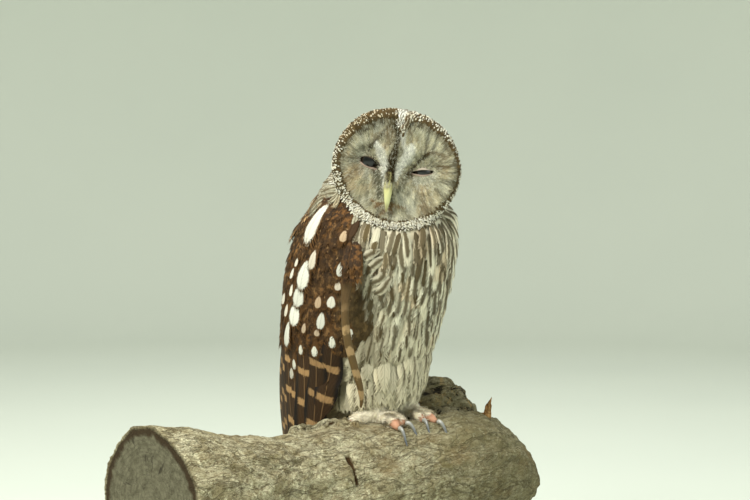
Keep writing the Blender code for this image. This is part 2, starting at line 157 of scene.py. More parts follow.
def read(mesh, key="co"):
    """The place of each vertex, or its normal."""
    values = np.empty(len(mesh.vertices) * 3)
    mesh.vertices.foreach_get(key, values)
    return values.reshape(-1, 3)


def tree_of(mesh):
    return BVHTree.FromPolygons(read(mesh).tolist(), [tuple(p.vertices) for p in mesh.polygons])


def add_object(name, data):
    added = bpy.data.objects.new(name, data)
    bpy.context.scene.collection.objects.link(added)
    return added


def finish_piece(name, mesh, material, smooth_shade=True):
    """Makes a mesh a piece that rides on the one body."""
    mesh.polygons.foreach_set("use_smooth", [smooth_shade] * len(mesh.polygons))
    mesh.materials.clear()
    mesh.materials.append(material)
    piece = add_object(name, mesh)
    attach(piece, "root")
    return piece


def set_attribute(mesh, name, values):
    """Stores a number, or a direction or colour of three parts, for each vertex."""
    values = np.asarray(values, np.float32)
    kind, key = ("FLOAT", "value") if values.ndim == 1 else ("FLOAT_VECTOR", "vector")
    mesh.attributes.new(name, kind, "POINT").data.foreach_set(key, values.ravel())


def modified(mesh, **modifiers):
    """A copy of a mesh with modifiers applied, each given by its kind and settings."""
    holder = add_object("holder", mesh)
    for kind, settings in modifiers.items():
        modifier = holder.modifiers.new(kind, kind)
        for key, value in settings.items():
            setattr(modifier, key, value)
    result = bpy.data.meshes.new_from_object(holder.evaluated_get(bpy.context.evaluated_depsgraph_get()))
    bpy.data.objects.remove(holder)
    return result


def joined(names, weld=True, grow=0.0):
    """CAD nodes as one mesh, grown outwards by a little."""
    work = bmesh.new()
    for name in names:
        first = len(work.verts)
        work.from_mesh(NODES[name].data)
        work.verts.ensure_lookup_table()
        if weld:
            bmesh.ops.remove_doubles(work, verts=work.verts[first:], dist=SAME_POINT)
    work.normal_update()
    for vertex in work.verts if grow else ():
        vertex.co += vertex.normal * grow
    return to_mesh("joined", work)


def to_mesh(name, work):
    """A bmesh as a new mesh."""
    mesh = bpy.data.meshes.new(name)
    work.to_mesh(mesh)
    work.free()
    return mesh


def ring_faces(rings, sides, first=0):
    """The faces between rings of points that each close on themselves."""
    faces = []
    for start in range(first, first + (rings - 1) * sides, sides):
        for k in range(sides):
            a, b = start + k, start + (k + 1) % sides
            faces.append((a, b, b + sides, a + sides))
    return faces


# ---- shader tools ----------------------------------------------------------------------------------------


def operation(name, turned=False):
    """A method that works a field and another value out in a maths node."""
    if turned:
        return lambda field, other: field.shader.math(name, other, field)
    return lambda field, other: field.shader.math(name, field, other)


class Field:
    """What a shader node puts out. Its sums and products are further nodes."""

    __add__, __sub__, __mul__, __truediv__ = map(operation, ("ADD", "SUBTRACT", "MULTIPLY", "DIVIDE"))
    __radd__, __rsub__ = operation("ADD", True), operation("SUBTRACT", True)

    def __init__(self, shader, socket):
        self.shader, self.socket = shader, socket


class Shader:
    """A Principled material being wired up."""

    def __init__(self, name, roughness=0.7, specular=0.3, metallic=0.0, coat=0.0):
        self.material = bpy.data.materials.new(name)
        self.material.use_nodes = True
        self.tree = self.material.node_tree
        self.surface = self.tree.nodes["Principled BSDF"]
        fixed = {"Roughness": roughness, "Specular IOR Level": specular}
        for socket, value in (fixed | {"Metallic": metallic, "Coat Weight": coat}).items():
            self.surface.inputs[socket].default_value = value

    def put(self, socket, value):
        if isinstance(value, Field):
            self.tree.links.new(value.socket, socket)
        else:
            socket.default_value = (*value, 1.0) if socket.type == "RGBA" else value

    def node(self, kind, output, inputs, **settings):
        """One output of a new node with those inputs and settings."""
        node = self.tree.nodes.new(f"ShaderNode{kind}")
        for key, value in settings.items():
            setattr(node, key, value)
        for key, value in inputs.items():
            self.put(node.inputs[key], value)
        return Field(self, node.outputs[output])

    def math(self, name, a, b=0.0):
        return self.node("Math", 0, {0: a, 1: b}, operation=name)

    def hypot(self, a, b):
        return self.math("SQRT", self.math("POWER", a, 2.0) + self.math("POWER", b, 2.0))

    def step(self, low, high, value, out_low=0.0, out_high=1.0):
        """A smooth step of value between low and high."""
        inputs = dict(enumerate((value, low, high, out_low, out_high)))
        return self.node("MapRange", 0, inputs, interpolation_type="SMOOTHSTEP")

    def blend(self, share, a, b, mode="MIX"):
        return self.node("Mix", 2, {0: share, 6: a, 7: b}, data_type="RGBA", blend_type=mode)

    def layers(self, colour, *layers):
        """A colour with others laid over it, each as far as its share says."""
        for share, over in layers:
            colour = self.blend(share, colour, over)
        return colour

    def attribute(self, name, output="Vector"):
        return self.node("Attribute", output, {}, attribute_name=name)

    def parts(self, vector):
        separate = self.node("SeparateXYZ", 0, {0: vector}).socket.node
        return [Field(self, output) for output in separate.outputs]

    def position(self, scale=(1, 1, 1)):
        """Object coordinates in metres, stretched."""
        return self.node("Mapping", 0, {0: self.node("TexCoord", "Object", {}), "Scale": scale})

    def noise(self, size, detail=4.0, vector=None, roughness=0.6, distortion=0.0):
        inputs = {"Vector": vector or self.position(), "Scale": 1 / size, "Detail": detail}
        return self.node("TexNoise", "Fac", inputs | {"Roughness": roughness, "Distortion": distortion})

    def cells(self, size, vector, wander):
        """How far it is to the nearest edge between cells of about that size, whose edges wander."""
        shift = self.node("TexNoise", "Color", {"Scale": 1 / wander[0], "Vector": vector})
        inputs = {0: shift, 1: (wander[0] * wander[1],) * 3, 2: vector}
        inputs = {"Scale": 1 / size, "Vector": self.node("VectorMath", 0, inputs, operation="MULTIPLY_ADD")}
        return self.node("TexVoronoi", "Distance", inputs, feature="DISTANCE_TO_EDGE")

    def bump(self, height, distance, strength=1.0):
        inputs = {"Strength": strength, "Distance": distance, "Height": height}
        self.put(self.surface.inputs["Normal"], self.node("Bump", 0, inputs))

    def colour(self, value):
        self.put(self.surface.inputs["Base Color"], value)
        return self.material


class Feather(Shader):
    """A feather's finish. u runs across it from -1 to 1 and v from root to tip.

    pattern names the method that draws on it. Each gives the share of the mark's colour, from three numbers
    that every feather has of its own.
    """

    def __init__(self, name, pattern):
        super().__init__(name, roughness=0.75, specular=0.22)
        self.u, self.v, seed = self.parts(self.attribute("place"))
        self.numbers = self.parts(self.attribute("numbers"))
        self.side = self.math("ABSOLUTE", self.u)
        self.wobble = (self.noise(0.0022, 2.0) - 0.5) * 0.5
        # From the root colour to the tip colour. Where a coat gives the root a darker copy of the tip's
        # colour, that is painted shade where the feathers overlap.
        share = self.step(0.15, 0.95, self.v)
        self.base = self.blend(share, self.attribute("root_colour"), self.attribute("tip_colour"))
        if pattern != "plain":
            share = getattr(self, pattern)(*self.numbers)
            self.base = self.blend(share, self.base, self.attribute("mark_colour"))
        barbs = self.math("SINE", (self.v * 11.0 + self.side * 4.0) * 6.0)
        shaft = self.step(0.10, 0.03, self.side)
        shade = (0.95 + barbs * 0.05) * (0.86 + seed * 0.28) * (1.0 - shaft * 0.18)
        self.bump(barbs * 0.5 + shaft, 0.0002, 0.6)
        grey = self.node("CombineColor", 0, {0: shade, 1: shade, 2: shade})
        self.colour(self.blend(1.0, self.base, grey, "MULTIPLY"))

    def streak(self, half_width, start, strength):
        """A streak down the shaft."""
        swell = self.step(start, start + 0.35, self.v) * self.step(1.0, 0.78, self.v, 0.55, 1.0)
        return self.step(-0.26, 0.20, half_width * swell - (self.side + self.wobble)) * strength

    def spot(self, centre, high, length):
        """An oval, a little wider towards the tip."""
        along = (self.v - high) / self.math("MAXIMUM", length, 0.01)
        breadth = 0.64 + along * 0.22
        across = (self.u - centre) / self.math("MAXIMUM", breadth, 0.2)
        edge = self.step(1.12, 0.88, self.hypot(across, along) + self.wobble * 0.7)
        return edge * self.math("GREATER_THAN", length, 0.02)

    def bar(self, bars, phase, strength):
        """Bars across the vane, which is darkened at its edges as painted shade in the gaps between the
        feathers, and paler on its shaft.
        """
        turn = (self.v * bars + phase) + (self.side * 0.05 + self.wobble * 0.30)
        wave = self.math("SINE", turn * (2 * math.pi))
        # Near black towards the vane's edges: painted shade in the gaps between overlapping feathers.
        edge, shaft = self.step(0.45, 0.85, self.side), self.step(0.06, 0.02, self.side) * 0.6
        self.base = self.layers(self.base, (edge, rgb(22, 15, 8)), (shaft, rgb(140, 108, 70)))
        return self.step(0.66, 0.90, wave) * self.step(0.78, 0.52, self.side + self.wobble * 0.6) * strength

    def mottle(self, rust, flecks, _):
        """Rust in patches and along the rim, and pale flecks."""
        rim = self.math("MAXIMUM", self.step(0.45, 0.85, self.side), self.step(0.80, 0.98, self.v))
        patches = self.math("MAXIMUM", self.step(0.46, 0.62, self.noise(0.006, 4.0)), rim * 0.55)
        fleck = self.step(0.60, 0.66, self.noise(0.0040, 3.0)) * (flecks * self.step(0.25, 0.5, self.side))
        self.base = self.blend(fleck, self.base, rgb(196, 158, 110))
        return patches * rust * (1.0 - fleck)


# ---- the skin --------------------------------------------------------------------------------------------


def eye_distance(head):
    """How far each point of the head is from the nearer eye, seen from in front."""
    return np.min([np.hypot(head[:, 0] - x, head[:, 2] - EYE_Z) for x in (-EYE_X, EYE_X)], axis=0)


def coat_depth(points):
    """How far the skin lies inside the coat's outer surface."""
    head, (_, back, up) = to_head(points), to_body(points).T
    near_head = smooth(8.6, 7.2, np.linalg.norm(head / (1, 1.02, 1), axis=1))
    face = near_head * smooth(-2.6, -3.6, head[:, 1])
    crown = near_head * smooth(0.5, 3.0, head[:, 2]) * (2.0 + 3.5 * smooth(-1.0, 3.0, head[:, 0]))
    depth = mix(7.0, 4.5, near_head) + crown
    for millimetres, share in (
        (3.0, face),
        (0.6, face * smooth(3.2, 1.8, eye_distance(head))),
        (3.2, smooth(4.5, 2.0, up)),
        (7.0, smooth(8.5, 6.5, up) * smooth(6.0, 5.0, back) * smooth(1.8, 3.0, up)),
        (0.8, smooth(1.8, 1.0, up)),
        (3.4, smooth(9.0, 12.0, back) * smooth(10.0, 3.0, up)),
    ):
        depth = mix(depth, millimetres, share)
    return depth * MM


def largest_part(mesh):
    """Keeps the biggest connected piece of a mesh."""
    work = bmesh.new()
    work.from_mesh(mesh)
    unseen, parts = set(work.verts), []
    while unseen:
        part, front = [], [unseen.pop()]
        while front:
            part.append(front.pop())
            others = {edge.other_vert(part[-1]) for edge in part[-1].link_edges} & unseen
            unseen -= others
            front += others
        parts.append(part)
    for part in sorted(parts, key=len)[:-1]:
        bmesh.ops.delete(work, geom=part, context="VERTS")
    return to_mesh(mesh.name, work)


def build_skin():
    """The skin's mesh: the flesh drawn in by the coat's depth, and less where it is thin."""
    remesh, soften = {"mode": "VOXEL", "voxel_size": SKIN_VOXEL}, {"factor": 0.5, "iterations": 8}
    mesh = largest_part(modified(joined(FLESH, grow=0.0003), REMESH=remesh, SMOOTH=soften))
    points, normals, tree = read(mesh), read(mesh, "normal"), tree_of(mesh)
    depth = coat_depth(points)
    for i, (point, normal) in enumerate(zip(points, normals)):
        inward = Vector(-normal)
        thick = tree.ray_cast(Vector(point) + inward * 0.0005, inward, 0.03)[3]
        if thick is not None:
            depth[i] = min(depth[i], 0.32 * thick)
    points -= normals * depth[:, None]
    mesh.vertices.foreach_set("co", points.ravel())
    mesh.update()
    return mesh


class Skin:
    """The skin as a surface that feathers are laid on."""

    def __init__(self, mesh):
        self.mesh = mesh
        self.points = read(mesh)
        self.tree = tree_of(mesh)
        work = bmesh.new()
        work.from_mesh(mesh)
        bmesh.ops.triangulate(work, faces=work.faces)
        self.triangles = np.array([[v.index for v in f.verts] for f in work.faces])
        work.free()
        corners = self.points[self.triangles]
        cross = np.cross(corners[:, 1] - corners[:, 0], corners[:, 2] - corners[:, 0])
        self.areas = np.linalg.norm(cross, axis=1) / 2
        self.middles = corners.mean(axis=1)
        self.facing = unit(cross)

    def nearest(self, points):
        """The skin's nearest points and normals."""
        found = [self.tree.find_nearest(Vector(p)) for p in points]
        return np.array([f[0] for f in found]), np.array([f[1] for f in found])

    def scatter(self, weight, spacing):
        """Points where weight is above 0, kept about spacing over the weight's square root apart."""
        chance = self.areas * weight
        wanted = int(chance.sum() / spacing**2 * 3.2)
        if wanted < 1:
            return np.empty((0, 3))
        chosen = RNG.choice(len(chance), wanted, p=chance / chance.sum())
        a, b = RNG.random(wanted), RNG.random(wanted)
        over = a + b > 1
        a[over], b[over] = 1 - a[over], 1 - b[over]
        first, second, third = np.moveaxis(self.points[self.triangles[chosen]], 1, 0)
        spots = first + (second - first) * a[:, None] + (third - first) * b[:, None]
        reach = spacing * 0.78 / np.sqrt(np.maximum(weight[chosen], 1e-6))
        return spots[thinned(spots, reach, spacing)]

    def lay(self, roots, flow, lengths, heights, rows):
        """Centre lines that follow flow over the skin from each root.

        heights gives, for each feather, its height over the skin at the root, the middle and the tip.
        Returns points and normals, N x rows x 3 each.
        """
        spots, normals = self.nearest(roots)
        lines, ups = np.empty((2, len(roots), rows, 3))
        for k in range(rows):
            t = k / (rows - 1)
            height = heights[:, 0] * (1 - t) ** 2 + 2 * heights[:, 1] * t * (1 - t) + heights[:, 2] * t * t
            lines[:, k] = spots + normals * height[:, None]
            ups[:, k] = normals
            if k < rows - 1:
                way = flow(spots)
                way = unit(way - normals * (way * normals).sum(axis=1, keepdims=True))
                spots, normals = self.nearest(spots + way * (lengths / (rows - 1))[:, None])
                normals = unit(normals * 0.6 + ups[:, k] * 0.4)
        return lines, ups


def thinned(spots, reach, cell):
    """Which points stay so that each keeps its reach from those before it. cell is a bin's size."""
    bins, keep = {}, []
    for i, (spot, clear) in enumerate(zip(spots, reach)):
        span = math.ceil(clear / cell)
        home = tuple(int(c) for c in np.floor(spot / cell))
        around = itertools.product(*(range(c - span, c + span + 1) for c in home))
        gaps = (spots[j] - spot for key in around for j in bins.get(key, ()))
        if not any(gap @ gap < clear * clear for gap in gaps):
            bins.setdefault(home, []).append(i)
            keep.append(i)
    return keep


# ---- feathers --------------------------------------------------------------------------------------------


class Shape:
    """A flat feather: points (across, along, lift) and faces. Along is 0 at its root and 1 at its tip."""

    def __init__(self, points=(), faces=()):
        self.points, self.faces = list(points), list(faces)

    def add(self, points, *faces):
        """Adds points, and faces that number those points from 0."""
        first = len(self.points)
        self.points += points
        self.faces += [tuple(first + i for i in face) for face in faces]


def vane_shape(rows, across, narrow=0.35, tip=0.12):
    """A whole, blunt feather."""
    points = []
    for t in np.linspace(0, 1, rows):
        width = np.interp(t, (0, 0.25, 0.5, 0.72, 0.9, 1), (narrow, 0.8, 1, 0.98, 0.72, 0.3))
        points += [(x * width, t - tip * x * x * t * t, 0.0) for x in np.linspace(-1, 1, across)]
    starts = [row * across + k for row in range(rows - 1) for k in range(across - 1)]
    return Shape(points, [(a, a + 1, a + across + 1, a + across) for a in starts])


def feather_shape(rows, across, strands):
    """A vane with a fringe of loose, pointed strands along its sides and tip."""
    shape = vane_shape(rows, across, 0.25)
    shape.points = [(x * 0.82, t * 0.93, lift) for x, t, lift in shape.points]
    for side, k in itertools.product((-1, 1), range(strands)):
        base = 0.2 + 0.6 * k / (strands - 1)
        edge = side * np.interp(base, (0, 0.25, 0.5, 0.72, 0.9, 1), (0.2, 0.62, 0.8, 0.78, 0.55, 0.3))
        far = side * min(abs(edge) * 1.32, 1.05)
        point = (far, min(base + 0.17, 1.0), 0.05 * (-1) ** k)
        shape.add([(edge * 0.7, base, 0.03), (edge * 0.85, base + 0.09, 0.03), point], (0, 1, 2))
    for k in range(5):
        x = -0.5 + k / 4
        point = (x * 1.15, 1.04 - 0.45 * x * x - 0.03 * (k % 2), 0.0)
        shape.add([(x * 0.9 - 0.09, 0.80, 0.02), (x * 0.9 + 0.09, 0.80, 0.02), point], (0, 1, 2))
    return shape


def tuft_shape(blades, blade_width, spread=0.8):
    """A fan of thin blades."""
    shape = Shape()
    for k in range(blades):
        aim, bend = -1 + 2 * k / (blades - 1), 0.1 * (-1) ** k
        reach = 1 - 0.22 * abs(aim) - 0.1 * (k % 2)
        points = [
            (aim * spread * t**0.8 + side * blade_width * width, t * reach, bend * t)
            for t, width in ((0.0, 0.7), (0.55, 1.0))
            for side in (-1, 1)
        ]
        shape.add([*points, (aim * spread, reach, bend)], (0, 1, 3, 2), (2, 3, 4))
    return shape


def plume_shape(barbs, vane=None):
    """A downy feather: pairs of barbs that leave the shaft and curve to the tip, over a vane if given."""
    shape, lift = (Shape(vane.points, vane.faces), 0.06) if vane else (Shape(), 0.0)
    for side, k in itertools.product((-1, 1), range(barbs)):
        base, bend = 0.04 + 0.80 * k / (barbs - 1), (-1) ** k
        reach = 1.0 - 0.35 * (k % 3 == 1) - 0.5 * max(0, base - 0.6)
        points = [(0.0, base, lift), (side * 0.05, base - 0.03, lift)]
        points += [(side * reach * 0.55, base + 0.11 + half, 0.05 * bend + lift) for half in (0.022, -0.022)]
        points.append((side * reach, min(base + 0.24 + 0.05 * (k % 2), 1.05), 0.16 * bend + lift))
        shape.add(points, (0, 1, 3, 2), (2, 3, 4))
    return shape


class Coat:
    """The feathers of one piece, gathered as arrays and joined into one mesh at the end."""

    LAYERS = ("place", "root_colour", "tip_colour", "mark_colour", "numbers")

    def __init__(self, name, pattern, slot, unwrap=None):
        self.name, self.slot, self.unwrap = name, slot, unwrap or round_body
        self.material = Feather(name, pattern).material
        self.points, self.faces, self.layers, self.spots = [], [], [], []
        self.count = 0

    def add(self, shape, lines, ups, half_widths, camber, *paint):
        """Adds feathers along centre lines. paint is their root, tip and mark colours and their numbers."""
        across, along, lift = np.array(shape.points).T
        count, rows = lines.shape[:2]
        place = np.clip(along, 0, 1) * (rows - 1)
        low = np.minimum(place.astype(int), rows - 2)
        share = (place - low)[None, :, None]
        centre, up, way = (
            values[:, low] * (1 - share) + values[:, low + 1] * share
            for values in (lines, ups, np.gradient(lines, axis=1))
        )
        way = unit(way)
        side = unit(np.cross(way, unit(up)))
        offset = side * across[:, None] + np.cross(side, way) * (lift - camber * across**2)[:, None]
        length = np.linalg.norm(lines[:, -1] - lines[:, 0], axis=1)
        beyond = way * np.maximum(along - 1, 0)[:, None] * length[:, None, None]
        self.points.append((centre + offset * half_widths[:, None, None] + beyond).reshape(-1, 3))
        starts = (np.arange(count) * len(across) + self.count)[:, None, None]
        for size in (3, 4):
            chosen = [face for face in shape.faces if len(face) == size]
            if chosen:
                self.faces += (starts + np.array(chosen)).reshape(-1, size).tolist()
        each = [np.repeat(np.broadcast_to(value, (count, 3)), len(across), axis=0) for value in paint]
        seeds = np.repeat(RNG.random(count), len(across))
        self.layers.append((columns(np.tile(across, count), np.tile(along, count), seeds), *each))
        self.spots.append(np.repeat(self.unwrap(lines[:, 0]), len(across), axis=0))
        self.count += count * len(across)

    def build(self):
        points = np.clip(np.concatenate(self.points), BOX_LOW, BOX_HIGH)
        mesh = bpy.data.meshes.new(self.name)
        mesh.from_pydata(points.tolist(), [], self.faces)
        layers = [np.concatenate(values) for values in zip(*self.layers)]
        for name, values in zip(self.LAYERS, layers):
            set_attribute(mesh, name, values)
        spots = np.concatenate(self.spots)
        low, high = spots.min(axis=0), spots.max(axis=0)
        spots = 0.003 + 0.994 * (spots - low) / np.maximum(high - low, 1e-9)
        places = spots + (layers[0][:, :2] * (0.5, 1.0) - (0.0, 0.5)) * PATCH
        corners = np.empty(len(mesh.loops), np.int32)
        mesh.loops.foreach_get("vertex_index", corners)
        mesh.uv_layers.new(name="OFBake").data.foreach_set("uv", places[corners].astype(np.float32).ravel())
        finish_piece(self.name, mesh, self.material)


def round_body(points):
    """An unwrap of the body: the turn round its upright axis, and height."""
    x, y, _ = (points - PERCH - (0.0, 0.055, 0.0)).T
    return columns(np.arctan2(x, -y), points[:, 2] * 6)


def round_head(points):
    """An unwrap of the back of the head: the turn round its middle and the angle from its crown."""
    x, y, z = to_head(points).T
    return columns(np.arctan2(x, y), np.arctan2(z, np.hypot(x, y)))


def across_face(points):
    """An unwrap of the face, which is nearly flat in the head's own frame."""
    return to_head(points)[:, (0, 2)]


# ---- colours of the living bird --------------------------------------------------------------------------

DISC = rgb(179, 174, 144)
PALE = rgb(222, 222, 200)
WHITE = rgb(228, 228, 214)
SPOT_WHITE = rgb(206, 206, 192)
BROW_WHITE = rgb(246, 246, 232)
SPOT_BUFF = rgb(166, 134, 94)
CREAM = np.array(rgb(214, 207, 180))
BELLY = rgb(208, 200, 172)
BUFF = rgb(192, 156, 108)
RUST = rgb(106, 72, 33)
UMBER = rgb(56, 38, 17)
OLIVE = rgb(68, 56, 30)
BROWN = rgb(104, 84, 50)
STREAK = rgb(78, 66, 39)
GREY = rgb(84, 84, 66)
CHIN = rgb(138, 104, 58)
LID_PALE = rgb(176, 164, 148)
LID_PINK = rgb(150, 132, 116)
LID_DARK = rgb(66, 56, 44)
PAD = rgb(188, 140, 112)
TOE_DOWN = rgb(246, 238, 214)

NOTCH_LINE = ((-0.1, 4.8, 0.34), (0.05, 4.0, 0.30), (0.08, 3.4, 0.26), (0.3, 2.7, 0.22), (0.8, 2.0, 0.25))

# Marks on the face, later ones over earlier ones: colour, strength and a line of (x, z, half width), in the
# head's centimetres.
FACE_MARKS = (
    (PALE, 0.55, ((-3.9, 0.6, 0.5), (-3.3, -1.0, 0.6))),
    (PALE, 0.60, ((2.4, -0.9, 0.4), (3.6, -0.5, 0.6), (4.2, 0.2, 0.4))),
    (BUFF, 0.40, ((-4.2, -1.3, 0.9), (-4.8, -2.2, 0.8), (-4.3, -3.0, 0.6))),
    (BUFF, 0.14, ((3.0, -2.0, 0.8), (4.6, -2.2, 0.8), (4.2, -3.6, 0.8))),
    (PALE, 0.55, ((1.0, -3.0, 0.5), (2.2, -3.6, 0.7), (2.6, -4.2, 0.5))),
    (PALE, 0.60, ((-2.5, 4.4, 0.5), (-2.8, 3.7, 0.35))),
    (BROWN, 0.55, ((-1.2, 4.5, 0.55), (-1.2, 3.2, 0.55), (-1.3, 2.4, 0.3))),
    (BROWN, 0.45, ((0.7, 4.2, 0.3), (0.9, 3.2, 0.3))),
    (BROWN, 0.35, ((-5.6, 0.6, 0.3), (-4.6, 0.3, 0.3))),
    (BROW_WHITE, 0.95, ((-2.52, 2.2, 0.30), (-1.9, 1.45, 0.48), (-1.3, 0.5, 0.42), (-1.1, -0.8, 0.28),
                        (-0.9, -1.9, 0.18))),
    (BROW_WHITE, 0.95, ((1.2, 2.5, 0.42), (1.0, 1.5, 0.55), (0.45, 0.5, 0.48), (0.35, -0.5, 0.32),
                        (0.3, -1.2, 0.18))),
    # Grey below the inner corners of the eyes, down beside the bill: painted shade of the hollows there.
    (GREY, 0.80, ((-1.95, -0.4, 0.28), (-1.6, -1.3, 0.40), (-1.2, -2.6, 0.42), (-1.1, -3.4, 0.25))),
    (GREY, 0.65, ((1.6, -0.3, 0.26), (1.2, -1.2, 0.42), (0.85, -2.3, 0.34))),
    (PALE, 0.55, ((2.0, -0.65, 0.14), (2.5, -1.2, 0.18), (2.7, -1.7, 0.10))),
    # Olive at the right eye's inner corner: painted shade.
    (OLIVE, 0.80, ((-2.0, -0.35, 0.16), (-2.2, -0.9, 0.12))),
    (OLIVE, 0.85, ((-3.2, 1.35, 0.10), (-3.1, 1.7, 0.26), (-2.9, 2.1, 0.20), (-2.4, 3.0, 0.12),
                   (-1.95, 3.8, 0.16))),
    (OLIVE, 0.90, ((1.35, -0.35, 0.14), (1.5, -0.1, 0.20), (2.2, 1.25, 0.12), (2.75, 2.0, 0.26),
                   (3.2, 2.4, 0.12))),
    (BROWN, 0.55, ((3.0, 2.3, 0.2), (3.9, 2.5, 0.3), (5.0, 2.2, 0.25))),
    # Olive at the left eye's inner corner: painted shade.
    (OLIVE, 0.80, ((1.6, -0.3, 0.14), (2.0, -0.95, 0.09))),
    (BROWN, 0.80, ((4.5, 1.0, 0.30), (5.6, 1.3, 0.15))),
    (OLIVE, 1.00, ((-0.9, 4.4, 0.36), (-0.55, 3.8, 0.20), (-0.33, 3.1, 0.16), (-0.44, 1.95, 0.36),
                   (-0.48, 1.3, 0.46), (-0.49, 0.7, 0.44), (-0.43, 0.1, 0.36), (-0.27, -0.9, 0.24))),
    (OLIVE, 0.85, ((-0.95, 0.75, 0.09), (-0.6, 0.5, 0.12))),
    (OLIVE, 0.85, ((-1.05, 0.1, 0.10), (-0.6, -0.2, 0.12))),
    (OLIVE, 0.70, ((-0.95, 1.6, 0.07), (-0.6, 1.3, 0.10))),
    (OLIVE, 0.70, ((0.1, -0.1, 0.10), (-0.2, -0.4, 0.10))),
    (CHIN, 0.80, ((-0.6, -3.9, 0.16), (-1.2, -4.1, 0.20), (-1.9, -3.9, 0.10))),
    (CHIN, 0.80, ((-0.7, -4.3, 0.22), (-1.3, -4.6, 0.16))),
    (CHIN, 0.70, ((-0.3, -4.8, 0.22), (-0.6, -5.2, 0.12))),
    (CHIN, 0.75, ((0.2, -4.2, 0.22), (0.6, -4.9, 0.12))),
    (CHIN, 0.80, ((0.2, -3.8, 0.20), (1.0, -4.1, 0.22), (1.8, -4.0, 0.10))),
)

DISC_MIDDLE = (0.3, -0.2)
DISC_RADII = (6.4, 5.6)
# The crown's dip between the disc's two lobes: its place and width in degrees, and its depth.
NOTCH_TURN, NOTCH_WIDTH, NOTCH_DEPTH = -5.5, 6.0, 0.50

# By degrees round the disc from its top: how much of the ruff is pale, how dark the disc's edge is, and how
# far out that edge starts.
RUFF_TURNS = (-180, -150, -115, -60, -20, -11, -6, 2, 10, 25, 80, 120, 150, 180)
RUFF_PALE = (0.88, 0.88, 0.55, 0.34, 0.20, 0.25, 0.95, 0.85, 0.45, 0.60, 0.80, 0.60, 0.84, 0.84)
EDGE_TURNS = (-180, -130, -100, -60, 0, 40, 120, 150, 180)
EDGE_DARK = (0.0, 0.35, 0.6, 0.9, 0.95, 0.75, 0.7, 0.2, 0.0)
EDGE_START = ((-60, -25, -12, 0, 60), (0.88, 0.79, 0.80, 0.86, 0.88))


def near_line(points, line):
    """1 on a line through flat points, and 0 well past its half width, which each of its points gives."""
    share = np.zeros(len(points))
    for (*start, near), (*end, far) in zip(line, line[1:]):
        step = np.subtract(end, start)
        along = np.clip(((points - start) @ step) / (step @ step), 0, 1)
        away = np.linalg.norm(points - start - along[:, None] * step, axis=1)
        share = np.maximum(share, smooth(1.45, 0.6, away / (near + (far - near) * along)))
    return share


def disc_reach(head):
    """How far out on the facial disc each point is: 1 at its rim, which dips between its two lobes."""
    reach = np.hypot(*((head[:, (0, 2)] - DISC_MIDDLE) / DISC_RADII).T)
    return reach * (1 + NOTCH_DEPTH * np.exp(-(((disc_turn(head) - NOTCH_TURN) / NOTCH_WIDTH) ** 2)))


def disc_turn(head):
    """Degrees round the disc from its top, growing towards the bird's left."""
    return np.degrees(np.arctan2(*(head[:, (0, 2)] - DISC_MIDDLE).T))


def face_colour(points):
    head = to_head(points)
    flat, reach, turn, rays = head[:, (0, 2)], disc_reach(head), disc_turn(head), barb_rays(head)
    patchy = lumps(points, 0.012, 1) * 0.5 + 0.5
    colour = mix(np.tile(DISC, (len(points), 1)), PALE, 0.35 * smooth(0.5, 0.9, patchy))
    colour = mix(colour, BUFF, 0.28 * smooth(0.5, 0.1, patchy))
    colour = colour * (1 - 0.08 * smooth(0.5, -0.5, head[:, 0]))[:, None]
    colour = colour * np.clip(1 + 0.60 * rays, 0.35, 1.6)[:, None]
    for mark, strength, line in FACE_MARKS:
        colour = mix(colour, mark, strength * near_line(flat, line))
    edge, start = np.interp(turn, EDGE_TURNS, EDGE_DARK), np.interp(turn, *EDGE_START)
    edge = edge * (0.75 + 0.25 * np.clip(3 * lumps(points, 0.006, 17), -1, 1))
    dark = mix(OLIVE, BROWN, 0.4 * smooth(20, 60, turn))
    colour = mix(colour, dark, edge * smooth(start, start + 0.07, reach))
    colour = mix(colour, WHITE, 0.9 * near_line(flat, NOTCH_LINE))
    return colour * np.clip(1 + 0.22 * rays, 0.6, 1.3)[:, None]


def barb_rays(head):
    """Streaks that run out from the eyes and the bill, about -1 to 1."""
    sources = np.array(((-EYE_X, EYE_Z), (EYE_X, EYE_Z), (-0.2, -1.2)))
    away = head[:, None, (0, 2)] - sources
    far = np.linalg.norm(away, axis=2) + np.array((0.0, 0.0, 0.9))
    nearest = far.argmin(axis=1)
    x, z = away[np.arange(len(head)), nearest].T
    turn = np.arctan2(z, x)
    rays = zip(np.cos(turn) * 8.0, np.sin(turn) * 8.0, far.min(axis=1) * 0.45 + nearest * 9.0)
    return np.array([noise.noise(Vector(ray)) + 0.6 * noise.noise(Vector(ray) * 2.3) for ray in rays])


# ---- the way feathers lie --------------------------------------------------------------------------------


def face_share(head):
    """1 on the face and its ruff."""
    low = smooth(95, 130, np.abs(disc_turn(head)))
    return smooth(1.22, 1.10, disc_reach(head) + 0.12 * low) * smooth(-2.0, -2.9, head[:, 1])


def from_foot(body):
    """How far each point is from the middle of the nearer foot, to the left and back."""
    return body[:, :2] - columns(np.where(body[:, 0] > 0, FOOT_X, -FOOT_X), FOOT_Y)


